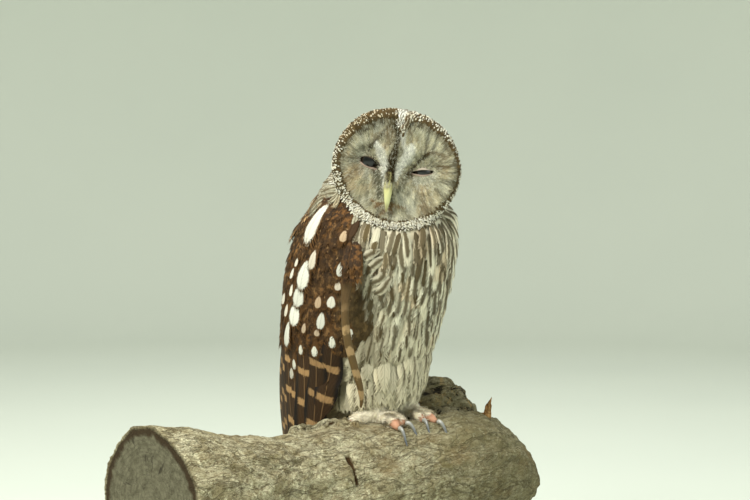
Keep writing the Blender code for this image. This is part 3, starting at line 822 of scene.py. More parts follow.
def flow(points):
    """The way feathers point: out from the eyes, back over the head, down the body and out on the toes."""
    head, body = to_head(points), to_body(points)
    outward = from_foot(body)
    on_toes = smooth(2.3, 1.5, body[:, 2]) * smooth(7.5, 6.5, np.hypot(*outward.T))
    way = mix(np.tile((0.0, 0.22, -1.0), (len(points), 1)), unit(columns(*outward.T, 0.0)), on_toes)
    on_head = smooth(9.4, 8.2, np.linalg.norm(head, axis=1)) * smooth(-3.0, -2.4, head[:, 1])
    way = mix(way, head_direction((0, 1.0, -0.7)), on_head * smooth(21.5, 23.0, body[:, 2]))
    spread = np.zeros((len(points), 2))
    for source, pull in (((-EYE_X, EYE_Z), 1.0), ((EYE_X, EYE_Z), 1.0), ((0.0, -0.5), 0.9)):
        away = head[:, (0, 2)] - source
        far = np.linalg.norm(away, axis=1, keepdims=True)
        spread += pull * away / np.maximum(far, 1e-6) / (far + 0.25) ** 1.5
    across, up = unit(spread).T
    spread = columns(across, 1.1 * smooth(0.92, 1.14, disc_reach(head)), up)
    return unit(mix(way, head_direction(spread), face_share(head)))


def breast_turn(body):
    """Degrees round the trunk from straight ahead, growing towards the bird's left."""
    return np.degrees(np.arctan2(body[:, 0], 5.0 - body[:, 1]))


# ---- eyes and lids ---------------------------------------------------------------------------------------

# Each eye's opening: its side, half length, height above and below its long axis, how many degrees its inner
# corner droops and how far up it lies, then the share of the lid's reach that is bare above and below it.
Opening = namedtuple("Opening", "side half above below droop high bare_above bare_below")
OPENINGS = {
    "R": Opening(-1, 1.04, 0.54, 0.42, 10, -0.22, 0.03, 0.07),
    "L": Opening(1, 1.12, 0.27, 0.24, 13, -0.06, 0.09, 0.05),
}
LID_REACH = 2.5  # how far from the eye's middle the lids run out over the face
LID_THICK = ((-0.05, 0.0, 0.02, 0.06, 0.13, 0.2, 1), (-0.05, 0.0, 0.05, 0.07, 0.05, 0.02, 0.0))
LID_RINGS = (-0.05, 0.0, 0.02, 0.05, 0.09, 0.13, 0.18, *np.linspace(0.24, 1.0, 20))
LID_SIDES = 96
SOFT_MEETING = 0.30  # over how far the lid's dome and the face run into each other


def opening_outline(eye, turns):
    """The edge of the opening, across and up from the eye's middle."""
    across = eye.half * np.cos(turns)
    up = np.where(np.sin(turns) > 0, eye.above, -eye.below) * np.abs(np.sin(turns)) ** 0.9
    up = up * (1 - 0.25 * np.clip(-np.cos(turns), 0, 1))
    cos, sin = math.cos(math.radians(eye.droop)), math.sin(math.radians(eye.droop))
    return eye.side * (across * cos - up * sin), across * sin + up * cos + eye.high


def lid_height(eye, x, z, dome, out, skin_tree):
    """How far before the eye's middle the lid lies: its dome, run into the face outwards."""
    beyond = max(1.0, 1.4 / math.hypot(x, z))
    start = from_head((eye.side * EYE_X + x * beyond, -9.0, EYE_Z + z * beyond))
    hit = skin_tree.ray_cast(Vector(start), Vector(head_direction((0, 1, 0))))[0]
    level = EYE_Y - to_head(hit)[1] + 0.03 - 0.12 * smooth(0.85, 1.0, out)
    blend = SOFT_MEETING * smooth(0.05, 0.35, out)
    return (dome + level + math.sqrt((dome - level) ** 2 + blend * blend)) / 2 if out > 0.05 else dome


def lid_mesh(eye, skin_tree):
    """The lids round one eye: points, faces and how far out each point is, 0 at the opening's edge."""
    edge_x, edge_z = opening_outline(eye, np.linspace(0, 2 * math.pi, LID_SIDES, endpoint=False))
    turns = np.arctan2(edge_z, edge_x)
    points = []
    for out in LID_RINGS:
        x, z = mix(edge_x, LID_REACH * np.cos(turns), out), mix(edge_z, LID_REACH * np.sin(turns), out)
        radius = EYE_RADIUS + 0.02 + float(np.interp(out, *LID_THICK))
        domes = np.sqrt(np.maximum(radius**2 - x**2 - z**2, 0))
        highs = [lid_height(eye, *place, out, skin_tree) for place in zip(x, z, domes)]
        points += zip(eye.side * EYE_X + x, EYE_Y - np.array(highs), EYE_Z + z)
    points, faces = from_head(points), ring_faces(len(LID_RINGS), LID_SIDES)
    first = points[list(faces[0])]
    facing = np.cross(first[1] - first[0], first[3] - first[0]) @ head_direction((0, -1, 0))
    return points, [face if facing > 0 else face[::-1] for face in faces], np.repeat(LID_RINGS, LID_SIDES)


def of_eye(head, part):
    """A number of the opening on each point's side of the head."""
    return np.where(head[:, 0] > 0, getattr(OPENINGS["L"], part), getattr(OPENINGS["R"], part))


def above_eye(head):
    """1 above the long axis of the nearer eye's opening, 0 below."""
    axis = (np.abs(head[:, 0]) - EYE_X) * np.tan(np.radians(of_eye(head, "droop")))
    return smooth(-0.06, 0.06, head[:, 2] - EYE_Z - of_eye(head, "high") - axis)


def build_whole_skin():
    """The skin with its lids, as one mesh, and the lids' share outwards for each vertex (2 elsewhere)."""
    mesh = build_skin()
    tree, points = tree_of(mesh), [read(mesh)]
    faces, shares = [list(p.vertices) for p in mesh.polygons], [np.full(len(points[0]), 2.0)]
    for eye in OPENINGS.values():
        first = sum(map(len, points))
        lid_points, lid_faces, lid_shares = lid_mesh(eye, tree)
        faces += [[i + first for i in face] for face in lid_faces]
        points.append(lid_points)
        shares.append(lid_shares)
    whole = bpy.data.meshes.new("skin")
    whole.from_pydata(np.concatenate(points).tolist(), [], faces)
    whole.update()
    return whole, np.concatenate(shares)


def build_eye(letter, eye):
    """An eyeball whose iris and pupil are drawn by the turn away from its middle."""
    s = Shader("eye", roughness=0.06, specular=0.5)
    out = s.attribute("out", "Fac")
    iris = s.blend(s.noise(0.0015, 3.0), rgb(34, 26, 18), rgb(18, 14, 12))
    iris = s.blend(s.step(0.50, 0.56, out), rgb(5, 6, 8), iris)
    material = s.colour(s.blend(s.step(0.80, 0.86, out), iris, rgb(28, 22, 18)))
    work, outs = bmesh.new(), []
    bmesh.ops.create_uvsphere(work, u_segments=64, v_segments=48, radius=EYE_RADIUS)
    for vertex in work.verts:
        spot = Vector((vertex.co.x, -vertex.co.z, vertex.co.y))
        outs.append(math.hypot(spot.x - eye.side * 0.05, spot.z + 0.08) / EYE_RADIUS if spot.y < 0 else 1.0)
        vertex.co = Vector(from_head(np.array((eye.side * EYE_X, EYE_Y, EYE_Z)) + np.array(spot)))
    mesh = to_mesh(f"eye_{letter}", work)
    set_attribute(mesh, "out", outs)
    eyeball = finish_piece(f"eyeball_{letter}", mesh, material)
    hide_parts(f"eye_{letter}")


# ---- bill, claws and the drooping feather ----------------------------------------------------------------


def refined_copy(name, new_name, levels, material, share=None):
    """A smooth, finer copy of a CAD node that stands in for it. share gives a number for its points."""
    mesh = modified(joined((name,)), SUBSURF={"levels": levels})
    mesh.name = new_name
    if share:
        set_attribute(mesh, "share", share(read(mesh)))
    piece = finish_piece(new_name, mesh, material)
    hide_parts(name)


def build_bill():
    s = Shader("bill", roughness=0.38, specular=0.45, coat=0.25)
    down = s.attribute("share", "Fac")
    grain = s.noise(0.0012, 4.0, s.position((1, 1, 0.25)))
    s.bump(grain, 0.0002, 0.5)
    tint = s.blend(s.step(0.0, 1.0, down), rgb(170, 164, 100), rgb(196, 198, 138))
    tint = s.layers(tint, (grain * 0.35, rgb(214, 212, 168)), (s.step(0.82, 1.0, down), rgb(172, 166, 120)))
    material = s.colour(tint)

    def down_the_bill(points):
        return smooth(-0.2, -4.6, to_head(points)[:, 2])

    for name in ("bill_upper", "bill_lower"):
        refined_copy(name, f"{name}_horn", 2, material, down_the_bill)


def build_claws():
    s = Shader("claw", roughness=0.3, specular=0.5, coat=0.3)
    grain = s.noise(0.0014, 3.0)
    s.bump(grain, 0.0002, 0.4)
    tint = s.blend(s.step(0.15, 0.95, s.attribute("share", "Fac")), rgb(172, 172, 162), rgb(78, 84, 92))
    material = s.colour(s.blend(grain * 0.4, tint, rgb(58, 60, 64)))

    def along_the_claw(points):
        out = np.hypot(*from_foot(to_body(points)).T)
        return (out - out.min()) / (out.max() - out.min())

    for toe in TOES:
        claw = toe.replace("toe", "claw")
        refined_copy(claw, f"{claw}_horn", 2, material, along_the_claw)


def build_loose_primary():
    """The primary that has slipped from the folded wing and hangs, seen nearly edge on."""
    s = Shader("loose primary", roughness=0.7, specular=0.2)
    x, _, height = s.parts(s.position())
    wave = s.math("SINE", (height * (1 / 0.024) + s.noise(0.006, 4.0) * 0.7) * (2 * math.pi))
    tint = s.blend(s.step(0.15, 0.75, wave), rgb(92, 72, 42), rgb(166, 138, 98))
    top = s.step(PERCH[2] + 0.105, PERCH[2] + 0.145, height)
    s.bump(s.math("SINE", x * 9000), 0.0001, 0.6)
    material = s.colour(s.layers(tint, (top, rgb(72, 54, 30)), (s.noise(0.002) * 0.35, rgb(112, 92, 60))))
    refined_copy("loose_primary_R", "loose_primary_vane", 2, material)


# ---- log and stand ---------------------------------------------------------------------------------------

# A split across the near side of the log: its place along the log, and its lower and upper end.
SPLIT, SPLIT_LOW, SPLIT_HIGH = -0.045, 0.184, 0.212
# A lip of bark along the crest, left of the foot: points along and across the log, and half widths.
BARK_LIP = ((-15.5, 0.2, 0.20), (-12.0, 1.2, 0.32), (-9.0, 0.7, 0.32), (-7.2, 0.6, 0.34), (-6.2, 0.0, 0.18))
LIP_HEIGHT = 0.0075
# A torn splinter beside the stub: where its foot is, its half width and its height.
SPLINTER = (12.0, -2.2, -1.4, 0.62, 2.3)
SPLINTER_RINGS, SPLINTER_SIDES = 9, 12
RIM_BINS = 36  # directions from the pith in which the log's edge is measured


def add_splinter(mesh):
    """Adds a jagged splinter of paler wood that stands on the log, and says which vertices are its own."""
    *foot, half, tall = SPLINTER
    foot, points = PERCH + np.array(foot) * CM, []
    for t in np.linspace(0, 1, SPLINTER_RINGS):
        for turn in np.linspace(0, 2 * math.pi, SPLINTER_SIDES, endpoint=False):
            ragged = 1 + 0.35 * noise.noise((3.0 * math.cos(turn), 2.0 * math.sin(turn), 4.0 * t))
            wide = half * (1 - 0.35 * t) * math.cos(turn) * ragged + 0.25 * t * t
            thick = half * (0.42 - 0.3 * t) * math.sin(turn)
            rise = tall * t * (ragged + 0.28 * math.cos(turn))
            points.append(foot + np.array((0.7 * wide + thick, thick - 0.7 * wide, rise)) * CM)
    faces = ring_faces(SPLINTER_RINGS, SPLINTER_SIDES)
    blade = bpy.data.meshes.new("splinter")
    blade.from_pydata(points, [], [*faces, tuple(range(len(points) - SPLINTER_SIDES, len(points)))])
    work = bmesh.new()
    work.from_mesh(mesh)
    work.from_mesh(blade)
    work.to_mesh(mesh)
    work.free()
    return np.arange(len(mesh.vertices)) >= len(mesh.vertices) - len(points)


def bark_material():
    s = Shader("bark", roughness=0.92, specular=0.12)
    crack_shade, cut, rim = s.parts(s.attribute("place"))
    broken, fresh = s.attribute("dark", "Fac"), s.attribute("fresh", "Fac")
    grain = s.position((0.45, 1, 1))
    coarse, grit = s.noise(0.030, 5.0), s.noise(0.0011, 4.0, grain)
    fine = s.noise(0.0030, 8.0, grain, roughness=0.75)
    plates, small = s.cells(0.011, grain, (0.009, 1.6)), s.cells(0.0042, grain, (0.005, 1.2))
    seams = s.step(0.07, 0.0, plates) * s.step(0.44, 0.60, s.noise(0.018, 3.0))
    furrow = s.math("ABSOLUTE", s.noise(0.022, 5.0, s.position((0.35, 1, 1)), distortion=0.8) - 0.5)
    far_end = s.step(0.02, 0.20, s.parts(s.position())[0] + coarse * 0.05)
    stain = s.step(0.50, 0.68, s.noise(0.045, 6.0, s.position((0.6, 1, 1)), roughness=0.65))
    knots = s.step(0.54, 0.60, s.noise(0.014, 5.0, roughness=0.7)) * broken
    fibres = s.step(0.35, 0.65, s.noise(0.003, 5.0, s.position((1, 1, 0.25))))
    tint = s.layers(
        s.blend(s.step(0.35, 0.65, coarse), rgb(156, 146, 112), rgb(196, 190, 158)),
        (s.step(0.42, 0.64, fine) * 0.85, rgb(112, 100, 70)),
        (s.step(0.53, 0.64, s.noise(0.009, 6.0, roughness=0.7)) * 0.9, rgb(214, 208, 172)),
        (s.step(0.55, 0.70, s.noise(0.020, 5.0, distortion=1.0)) * 0.5, rgb(120, 112, 70)),
        (s.step(0.52, 0.66, grit) * 0.5, rgb(84, 72, 48)),
        (s.step(0.08, 0.01, small) * 0.22, rgb(84, 70, 46)),
        # Darker in the seams between bark plates and in the furrows, which the bump also sinks: partly the
        # bark's own colour, partly painted shade in those recesses.
        (seams * 0.55, rgb(72, 60, 40)),
        (s.step(0.016, 0.004, furrow) * 0.40, rgb(80, 68, 44)),
        (far_end * 0.65, rgb(100, 94, 64)),
        (stain * 0.45, rgb(122, 100, 62)),
        # Painted shade in the split and along the edges of the bark lip.
        (s.step(0.2, 0.8, crack_shade), rgb(66, 48, 26)),
        (broken * 0.42, rgb(58, 55, 38)),
        (knots * 0.8, rgb(158, 134, 86)),
        # Near black deep in the stub's furrows: painted shade.
        (s.step(0.030, 0.010, furrow) * broken, rgb(34, 30, 20)),
        (fresh, s.blend(fibres, rgb(120, 84, 44), rgb(176, 140, 90))),
        (cut, cut_wood(s, rim)),
    )
    relief = fine + s.step(0.0, 0.10, plates) * 0.35 + s.step(0.0, 0.03, furrow) * 0.6
    s.bump((relief + grit * 0.3) * (1.0 - cut * 0.8), 0.0030, 1.0)
    return s.colour(tint)


def cut_wood(s, rim):
    """Weathered end grain: rings round the pith, cracks that run out from it and are darkened as painted
    shade, and a dark rim of bark.
    """
    middle = log_end_middle()
    place = s.parts(s.position())
    across, up = (place[axis] - middle[axis] for axis in (1, 2))
    out, turn = s.hypot(across, up), s.math("ARCTAN2", up, across)
    rings = s.math("SINE", out * (2 * math.pi / 0.0042) + s.noise(0.02, 3.0) * 2.5 * 4.0)
    spokes = s.node("CombineXYZ", 0, {0: turn, 1: out * 6.0})
    return s.layers(
        s.blend(s.step(0.35, 0.65, s.noise(0.007, 6.0, roughness=0.7)), rgb(82, 79, 62), rgb(104, 101, 82)),
        (s.step(-0.2, 0.9, rings, 0.0, 0.25), rgb(72, 66, 54)),
        # Painted shade in the cracks that run out from the pith.
        (s.step(0.60, 0.66, s.noise(0.16, 4.0, spokes)) * 0.7, rgb(42, 38, 30)),
        (rim, rgb(54, 44, 30)),
    )


def log_end_middle():
    """The pith at the log's near end."""
    points = read(NODES["perch_log"].data)
    end = points[points[:, 0] < points[:, 0].min() + 0.006]
    return (end.min(axis=0) + end.max(axis=0)) / 2


def end_grain(points, cut):
    """The log's cut end: how far each point is in its rim of bark, and how deep its cracks go."""
    _, across, up = (points - log_end_middle()).T
    turn, out = np.arctan2(up, across), np.hypot(across, up)
    bins = ((turn + math.pi) / (2 * math.pi) * RIM_BINS).astype(int) % RIM_BINS
    edge = np.array([out[(cut > 0.5) & (bins == b)].max(initial=0.03) for b in range(RIM_BINS)])
    rim = smooth(0.88, 0.93, out / edge[bins] + 0.05 * lumps(points, 0.006, 12))
    return rim, 0.0012 * np.abs(lumps(columns(turn * 0.05, out * 0.2, 0.0), 0.02, 13))


def bark_relief(points, broken):
    """How far the bark stands out, with torn terraces on the broken stub."""
    stretched = points * (0.40, 1, 1)
    ridges, fine = (1 - np.abs(lumps(stretched, size, seed)) * 2 for size, seed in ((0.020, 3), (0.008, 4)))
    torn = 0.0035 * np.abs(lumps(points, 0.010, 15)) + 0.007 * np.floor(4 * lumps(points, 0.020, 16)) / 4
    return 0.0020 * ridges + 0.0012 * fine + 0.0018 * lumps(points, 0.05, 5) + 0.0012 + broken * torn


def build_log():
    mesh = joined(("perch_log", "perch_stub"), weld=False)
    mesh = modified(mesh, REMESH={"mode": "VOXEL", "voxel_size": LOG_VOXEL})
    points, normals = read(mesh), read(mesh, "normal")
    split = smooth(0.0042, 0.0012, np.abs(points[:, 0] - SPLIT - 0.010 * lumps(points, 0.014, 11)))
    split *= smooth(SPLIT_LOW - 0.01, SPLIT_LOW, points[:, 2])
    split *= smooth(SPLIT_HIGH, SPLIT_HIGH - 0.01, points[:, 2]) * smooth(0.2, -0.2, normals[:, 1])
    left_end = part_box("perch_log")[0][0]
    cut = smooth(left_end + 0.006, left_end + 0.002, points[:, 0]) * smooth(-0.4, -0.7, normals[:, 0])
    stub_low, stub_high = (np.array(corner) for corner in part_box("perch_stub"))
    broken = np.all((points > stub_low - 0.004) & (points < stub_high + 0.004), axis=1)
    wander = 0.25 * lumps(points, 0.012, 17)[:, None]
    lip = near_line(to_body(points)[:, :2] + wander, BARK_LIP) * smooth(0.2, 0.6, normals[:, 2])
    rim, cracks = end_grain(points, cut)
    rough = (bark_relief(points, broken) - 0.0030 * split) * (1 - cut) - cut * cracks
    points += normals * rough[:, None]
    points[:, 2] += LIP_HEIGHT * lip * (1 + 0.5 * lumps(points, 0.010, 19))
    points = np.clip(points, BOX_LOW, BOX_HIGH)
    mesh.vertices.foreach_set("co", points.ravel())
    # Painted shade along the edges of the bark lip, as if under it, and in the split.
    lip_edge_shade = lip * (1 - lip) * 4 * smooth(0.3, -0.3, lumps(points, 0.02, 20))
    crack_shade = np.maximum(split, 0.8 * lip_edge_shade) * (1 - cut)
    dark = broken * smooth(-0.4, 0.3, lumps(points, 0.012, 14))
    dark *= smooth(PERCH[2] - 0.03, PERCH[2] - 0.005, points[:, 2])
    fresh = add_splinter(mesh)
    marks = np.pad(columns(crack_shade, cut, rim, dark), ((0, fresh.sum()), (0, 0)))
    set_attribute(mesh, "place", marks[:, :3])
    set_attribute(mesh, "dark", marks[:, 3])
    set_attribute(mesh, "fresh", fresh)
    log = finish_piece("log", mesh, bark_material())
    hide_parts("perch_log", "perch_stub")


def build_stand():
    s = Shader("stand wood", roughness=0.42, specular=0.4, coat=0.15)
    grain = s.noise(0.006, 6.0, s.position((0.06, 1, 1)), distortion=0.6)
    s.bump(grain, 0.0002, 0.4)
    wood = s.colour(s.blend(s.step(0.3, 0.75, grain), rgb(74, 48, 30), rgb(122, 84, 52)))
    low, high = (np.array(corner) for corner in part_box("stand_base"))
    work = bmesh.new()
    bmesh.ops.create_cube(work, size=1.0)
    for vertex in work.verts:
        vertex.co = Vector((low + high) / 2 + np.array(vertex.co) * (high - low))
    bmesh.ops.bevel(work, geom=work.edges[:], offset=0.0022, segments=4, profile=0.5, affect="EDGES")
    base = finish_piece("stand_base_board", to_mesh("stand_base_wood", work), wood, False)
    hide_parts("stand_base")
    s = Shader("stand steel", roughness=0.32, specular=0.5, metallic=1.0)
    brushed = s.noise(0.0008, 3.0, s.position((1, 1, 0.02)))
    s.bump(brushed, 0.0001, 0.3)
    steel = s.colour(s.blend(brushed, rgb(150, 150, 150), rgb(190, 190, 188)))
    for name in ("stand_rod_1", "stand_rod_2"):
        refined_copy(name, f"{name}_steel", 0, steel)


# ---- studio ----------------------------------------------------------------------------------------------

STUDIO_FLAT, STUDIO_EDGE, STUDIO_HEIGHT, STUDIO_SIDES = 2.6, 3.6, 2.8, 96
CAMERA_AZIMUTH, CAMERA_ELEVATION = math.radians(-45), math.radians(4)
CAMERA_DISTANCE = 1.93
AIM_ACROSS, AIM_UP = -0.025, 0.187  # the picture's middle from the log's crest, in the picture's plane


def build_studio():
    """A pale floor that curves up into a round wall."""
    s = Shader("studio", roughness=0.95, specular=0.1)
    bend = STUDIO_EDGE - STUDIO_FLAT
    curve = ((math.sin(a), 1 - math.cos(a)) for a in np.linspace(0.1, math.pi / 2, 14))
    profile = [(STUDIO_FLAT, 0.0), *((STUDIO_FLAT + bend * x, bend * z) for x, z in curve)]
    profile.append((STUDIO_EDGE, STUDIO_HEIGHT))
    turns = np.linspace(0, 2 * math.pi, STUDIO_SIDES, endpoint=False)
    points = [(far * math.cos(t), far * math.sin(t), height) for far, height in profile for t in turns]
    floor = tuple(range(STUDIO_SIDES))
    mesh = bpy.data.meshes.new("studio")
    mesh.from_pydata(points, [], [floor, *(face[::-1] for face in ring_faces(len(profile), STUDIO_SIDES))])
    mesh.materials.append(s.colour(s.blend(s.noise(0.8, 2.0), rgb(206, 212, 200), rgb(198, 205, 194))))
    mesh.polygons.foreach_set("use_smooth", [True] * len(mesh.polygons))
    add_object("studio", mesh)


def build_camera():
    """A camera at the owl's height. Returns its aim and the picture's ways across, up and ahead."""
    a, e = CAMERA_AZIMUTH, CAMERA_ELEVATION
    ahead = Vector((-math.sin(a) * math.cos(e), math.cos(a) * math.cos(e), -math.sin(e)))
    across = Vector((math.cos(a), math.sin(a), 0))
    up = across.cross(ahead)
    aim = Vector(PERCH) + across * AIM_ACROSS + up * AIM_UP
    lens = bpy.data.cameras.new("camera")
    lens.lens, lens.sensor_width = 85, 36
    camera = add_object("camera", lens)
    camera.location = aim - ahead * CAMERA_DISTANCE
    camera.rotation_euler = ahead.to_track_quat("-Z", "Y").to_euler()
    bpy.context.scene.camera = camera
    return aim, across, up, ahead


def build_lights(aim, across, up, ahead):
    """Soft light from lamps whose places are given across, up and ahead of the aim."""
    for name, (x, z, y), size, power, colour in (
        ("key", (-1.1, 1.7, -1.5), 1.2, 98, (1.0, 0.98, 0.93)),
        ("fill", (1.7, 0.5, -1.2), 1.8, 16, (0.95, 0.98, 1.0)),
        ("top", (0.0, 1.9, 0.6), 1.8, 26, (0.96, 1.0, 0.98)),
    ):
        light = bpy.data.lights.new(name, "AREA")
        light.size, light.energy, light.color = size, power, colour
        lamp = add_object(name, light)
        lamp.location = aim + across * x + up * z + ahead * y
        lamp.rotation_euler = (aim - lamp.location).to_track_quat("-Z", "Y").to_euler()
    world = bpy.data.worlds.new("studio")
    world.use_nodes = True
    background = world.node_tree.nodes["Background"]
    background.inputs[0].default_value = (0.88, 0.87, 0.82, 1.0)
    background.inputs[1].default_value = 0.60
    bpy.context.scene.world = world
    bpy.context.scene.view_settings.view_transform = "Standard"


# ---- the coat, region by region --------------------------------------------------------------------------

SIDES = {-1: "R", 1: "L"}
WINGS = ("wing_L", "wing_R")
HEAD_NODES = ("head", "face_disc_L", "face_disc_R")
BACK_TURN = 112  # degrees round the trunk from straight ahead, where the back begins
TAKEN = 0.05  # the crown's weight above which the crown's feathers have a place to themselves


class Bird:
    """The skin, what lies where on it, and the colours laid on it so far."""

    def __init__(self):
        mesh, self.lid_share = build_whole_skin()
        self.skin = Skin(mesh)
        self.flesh_tree = tree_of(joined(FLESH, weld=False))
        self.owners = [name for name in FLESH for _ in NODES[name].data.polygons]
        middles = self.skin.middles
        self.owner = self.owner_at(middles + self.skin.facing * 0.004)
        self.head, self.body = to_head(middles), to_body(middles)
        self.face, self.reach = face_share(self.head), disc_reach(self.head)
        lids = self.lid_share[self.skin.triangles].mean(axis=1)
        limit = mix(of_eye(self.head, "bare_below"), of_eye(self.head, "bare_above"), above_eye(self.head))
        under_lids = (lids > 1.5) & (eye_distance(self.head) < LID_REACH - 0.1) & (self.head[:, 1] < -1.5)
        self.bare = (lids < limit) | under_lids
        self.turn = breast_turn(self.body)
        self.beside_wing = self.near_wings()
        self.paint = []

    def near_wings(self):
        """Low on the flank, where the skin lies against a folded wing."""
        near = np.zeros(len(self.body), bool)
        low = np.flatnonzero((self.body[:, 2] < 8.5) & (np.abs(self.body[:, 0]) > 3.0))
        for tree in (tree_of(NODES[name].data) for name in WINGS):
            near[low] |= [tree.find_nearest(Vector(middle))[3] < 0.010 for middle in self.skin.middles[low]]
        return near

    def owner_at(self, points):
        return np.array([self.owners[self.flesh_tree.find_nearest(Vector(p))[2]] for p in points])

    def where(self, *names):
        return np.isin(self.owner, names).astype(float)

    def upper_body(self):
        """1 on the trunk and neck and on the chin behind the ruff."""
        return np.maximum(self.where("trunk", "neck"), self.where(*HEAD_NODES) * (self.head[:, 2] < -3.0))

    def shoulders(self):
        """1 where the trunk's upper sides wear the wing's brown coverts."""
        up, turn = self.body[:, 2], np.abs(self.turn)
        start = np.where(self.turn < 0, 50, 66)
        top = np.where((self.turn < 0) & (turn < 84), 25.0, 23.8)
        return self.upper_body() * (turn > start) * (turn < BACK_TURN) * (up > 18.0) * (up < top)

    def dress(self, coat, shape, weight, spacing, length, half_width, heights, colours, rows=4, camber=0.25):
        """Covers the skin where weight is above 0 with one kind of feather.

        colours takes the roots and gives root, tip and mark colours and the pattern's numbers. Lengths are
        in millimetres. length and half_width may be functions of the roots.
        """
        roots = self.skin.scatter(weight * ~self.bare, spacing * MM)
        count = len(roots)
        if not count:
            return
        scale = 1 + 0.15 * RNG.uniform(-1, 1, count)
        sizes = (size(roots) if callable(size) else size for size in (length, half_width))
        long, wide = (size * scale * MM for size in sizes)
        high = np.tile(np.array(heights) * MM, (count, 1)) * (1 + 0.35 * RNG.uniform(-1, 1, (count, 1)))
        sway = 0.18 * RNG.uniform(-1, 1, (count, 3))
        lines, ups = self.skin.lay(roots, lambda spots: unit(flow(spots) + sway), long, high, rows)
        paint = colours(roots)
        coat.add(shape, lines, ups, wide, camber, *paint)
        self.paint.append((roots, np.broadcast_to(mix(paint[0], paint[1], 0.5), (count, 3))))


def shaded(colour, count, spread=0.12):
    """The same colour for each feather, a little lighter or darker."""
    return np.asarray(colour, float) * (1 + spread * RNG.uniform(-1, 1, (count, 1)))


def before_flight(body):
    """True in front of the flight feathers, where the flank's pale feathers lie over the wing."""
    return body[:, 1] < 0.1 + (FLIGHT_ROOT_UP - body[:, 2]) * 0.38


def dress_face(bird):
    """Fine tufts that radiate from the eyes, one piece for each side."""

    def length(roots):
        head = to_head(roots)
        whole = np.interp(eye_distance(head), (1.0, 1.6, 2.6, 4.5), (2.6, 4.5, 6.5, 8.5))
        return np.minimum(whole, np.interp(np.abs(head[:, 0] + 0.35), (0.0, 0.6, 1.6), (3.0, 3.8, 9.0)))

    def colours(roots):
        ahead = roots + flow(roots) * length(roots)[:, None] * 0.70 * MM
        colour = shaded(face_colour(ahead + 0.0004 * RNG.normal(size=roots.shape)), len(roots), 0.16)
        chance = RNG.random(len(roots))
        colour = mix(mix(colour, PALE, 0.6 * (chance < 0.16)), OLIVE, 0.4 * (chance > 0.88))
        # Roots are a darker copy and tips a lighter copy of the face colour: painted shade at the roots,
        # painted light at the tips.
        return colour * 0.66, colour * 1.30, colour, (0, 0, 0)

    for side, letter in SIDES.items():
        coat = Coat(f"face_{letter}", "plain", "plumage_grey", across_face)
        weight = bird.face * ((bird.head[:, 0] * side > 0) & (bird.reach < 0.97))
        bird.dress(coat, tuft_shape(5, 0.11), weight, 0.78, length, 0.95, (0.2, 1.3, 1.9), colours)
        coat.build()


def dress_bill_root():
    """Bristles of the forehead that hide the root of the bill."""
    horn = Skin(NODES["bill_upper"].data)
    roots = horn.scatter(smooth(-1.65, -1.45, to_head(horn.middles)[:, 2]), 0.8 * MM)
    count = len(roots)
    aside = to_head(roots)[:, :1] * 0.9 * head_direction((1.0, 0.0, 0.0))
    way = unit(head_direction((0.0, -0.2, -1.0)) + aside)
    heights = np.tile((0.2 * MM, 1.0 * MM, 1.3 * MM), (count, 1))
    lines, ups = horn.lay(roots, lambda _: way, RNG.uniform(3.0, 5.0, count) * MM, heights, 4)
    colour = shaded(face_colour(from_head(to_head(roots) + (0, 0, 0.15))), count, 0.2)
    coat = Coat("bill_bristles", "plain", "plumage_grey", across_face)
    widths = np.full(count, 0.8 * MM)
    # Roots are a darker copy and tips a lighter copy of the colour: painted shade at the roots, painted
    # light at the tips.
    coat.add(tuft_shape(3, 0.16), lines, ups, widths, 0.25, colour * 0.8, colour * 1.2, colour, (0, 0, 0))
    coat.build()


def dress_ruff(bird):
    """Short stiff feathers in rings round the disc, dark with a bead of white at the tip."""

    def colours(roots):
        head, count = to_head(roots), len(roots)
        turn = disc_turn(head)
        low, upper = 0.07 * smooth(80, 120, np.abs(turn)), np.abs(turn) < 75
        right = (turn < -8) & upper
        chance = np.interp(turn, RUFF_TURNS, RUFF_PALE) * smooth(0.93 - low, 0.99 - low, disc_reach(head))
        dark = mix(OLIVE, BROWN, RNG.random(count) * np.where(upper, 0.8, 0.4))
        dark = mix(dark, RUST, 0.10 * RNG.random(count) * ((turn < -20) & upper))
        warm = (0.1 + 0.5 * RNG.random(count)) * right
        light = mix(mix(mix(CREAM, WHITE, RNG.random(count)), BUFF, warm), DISC, 0.35 * right)
        rich = smooth(0.6, 0.9, chance)
        base = mix(dark, CREAM, 0.5 * rich * (RNG.random(count) < 0.6))
        bead = RNG.uniform(0.14, 0.28, count) * (1 - 0.25 * right) + 0.16 * rich
        bead = np.where(RNG.random(count) < chance + 0.05, bead, 0.0)
        # The root is a darker copy of the feather's colour: painted shade where the feathers overlap.
        return base * 0.8, base, light, columns(0.0, 0.80, bead)

    coat = Coat("ruff", "spot", "plumage_pale", across_face)
    weight = bird.face * (bird.reach > 0.94 - 0.05 * smooth(80, 120, np.abs(disc_turn(bird.head))))
    bird.dress(coat, vane_shape(4, 3), weight, 1.25, 5.2, 1.25, (0.3, 2.2, 3.0), colours, camber=0.3)
    coat.build()


# Pale lines on the crown behind the brows, seen from above: points (x, y, half width).
CROWN_LINES = (((-0.6, -4.5, 0.45), (-0.5, -1.5, 0.35)), ((1.4, -4.5, 0.7), (2.2, -2.5, 0.7)))


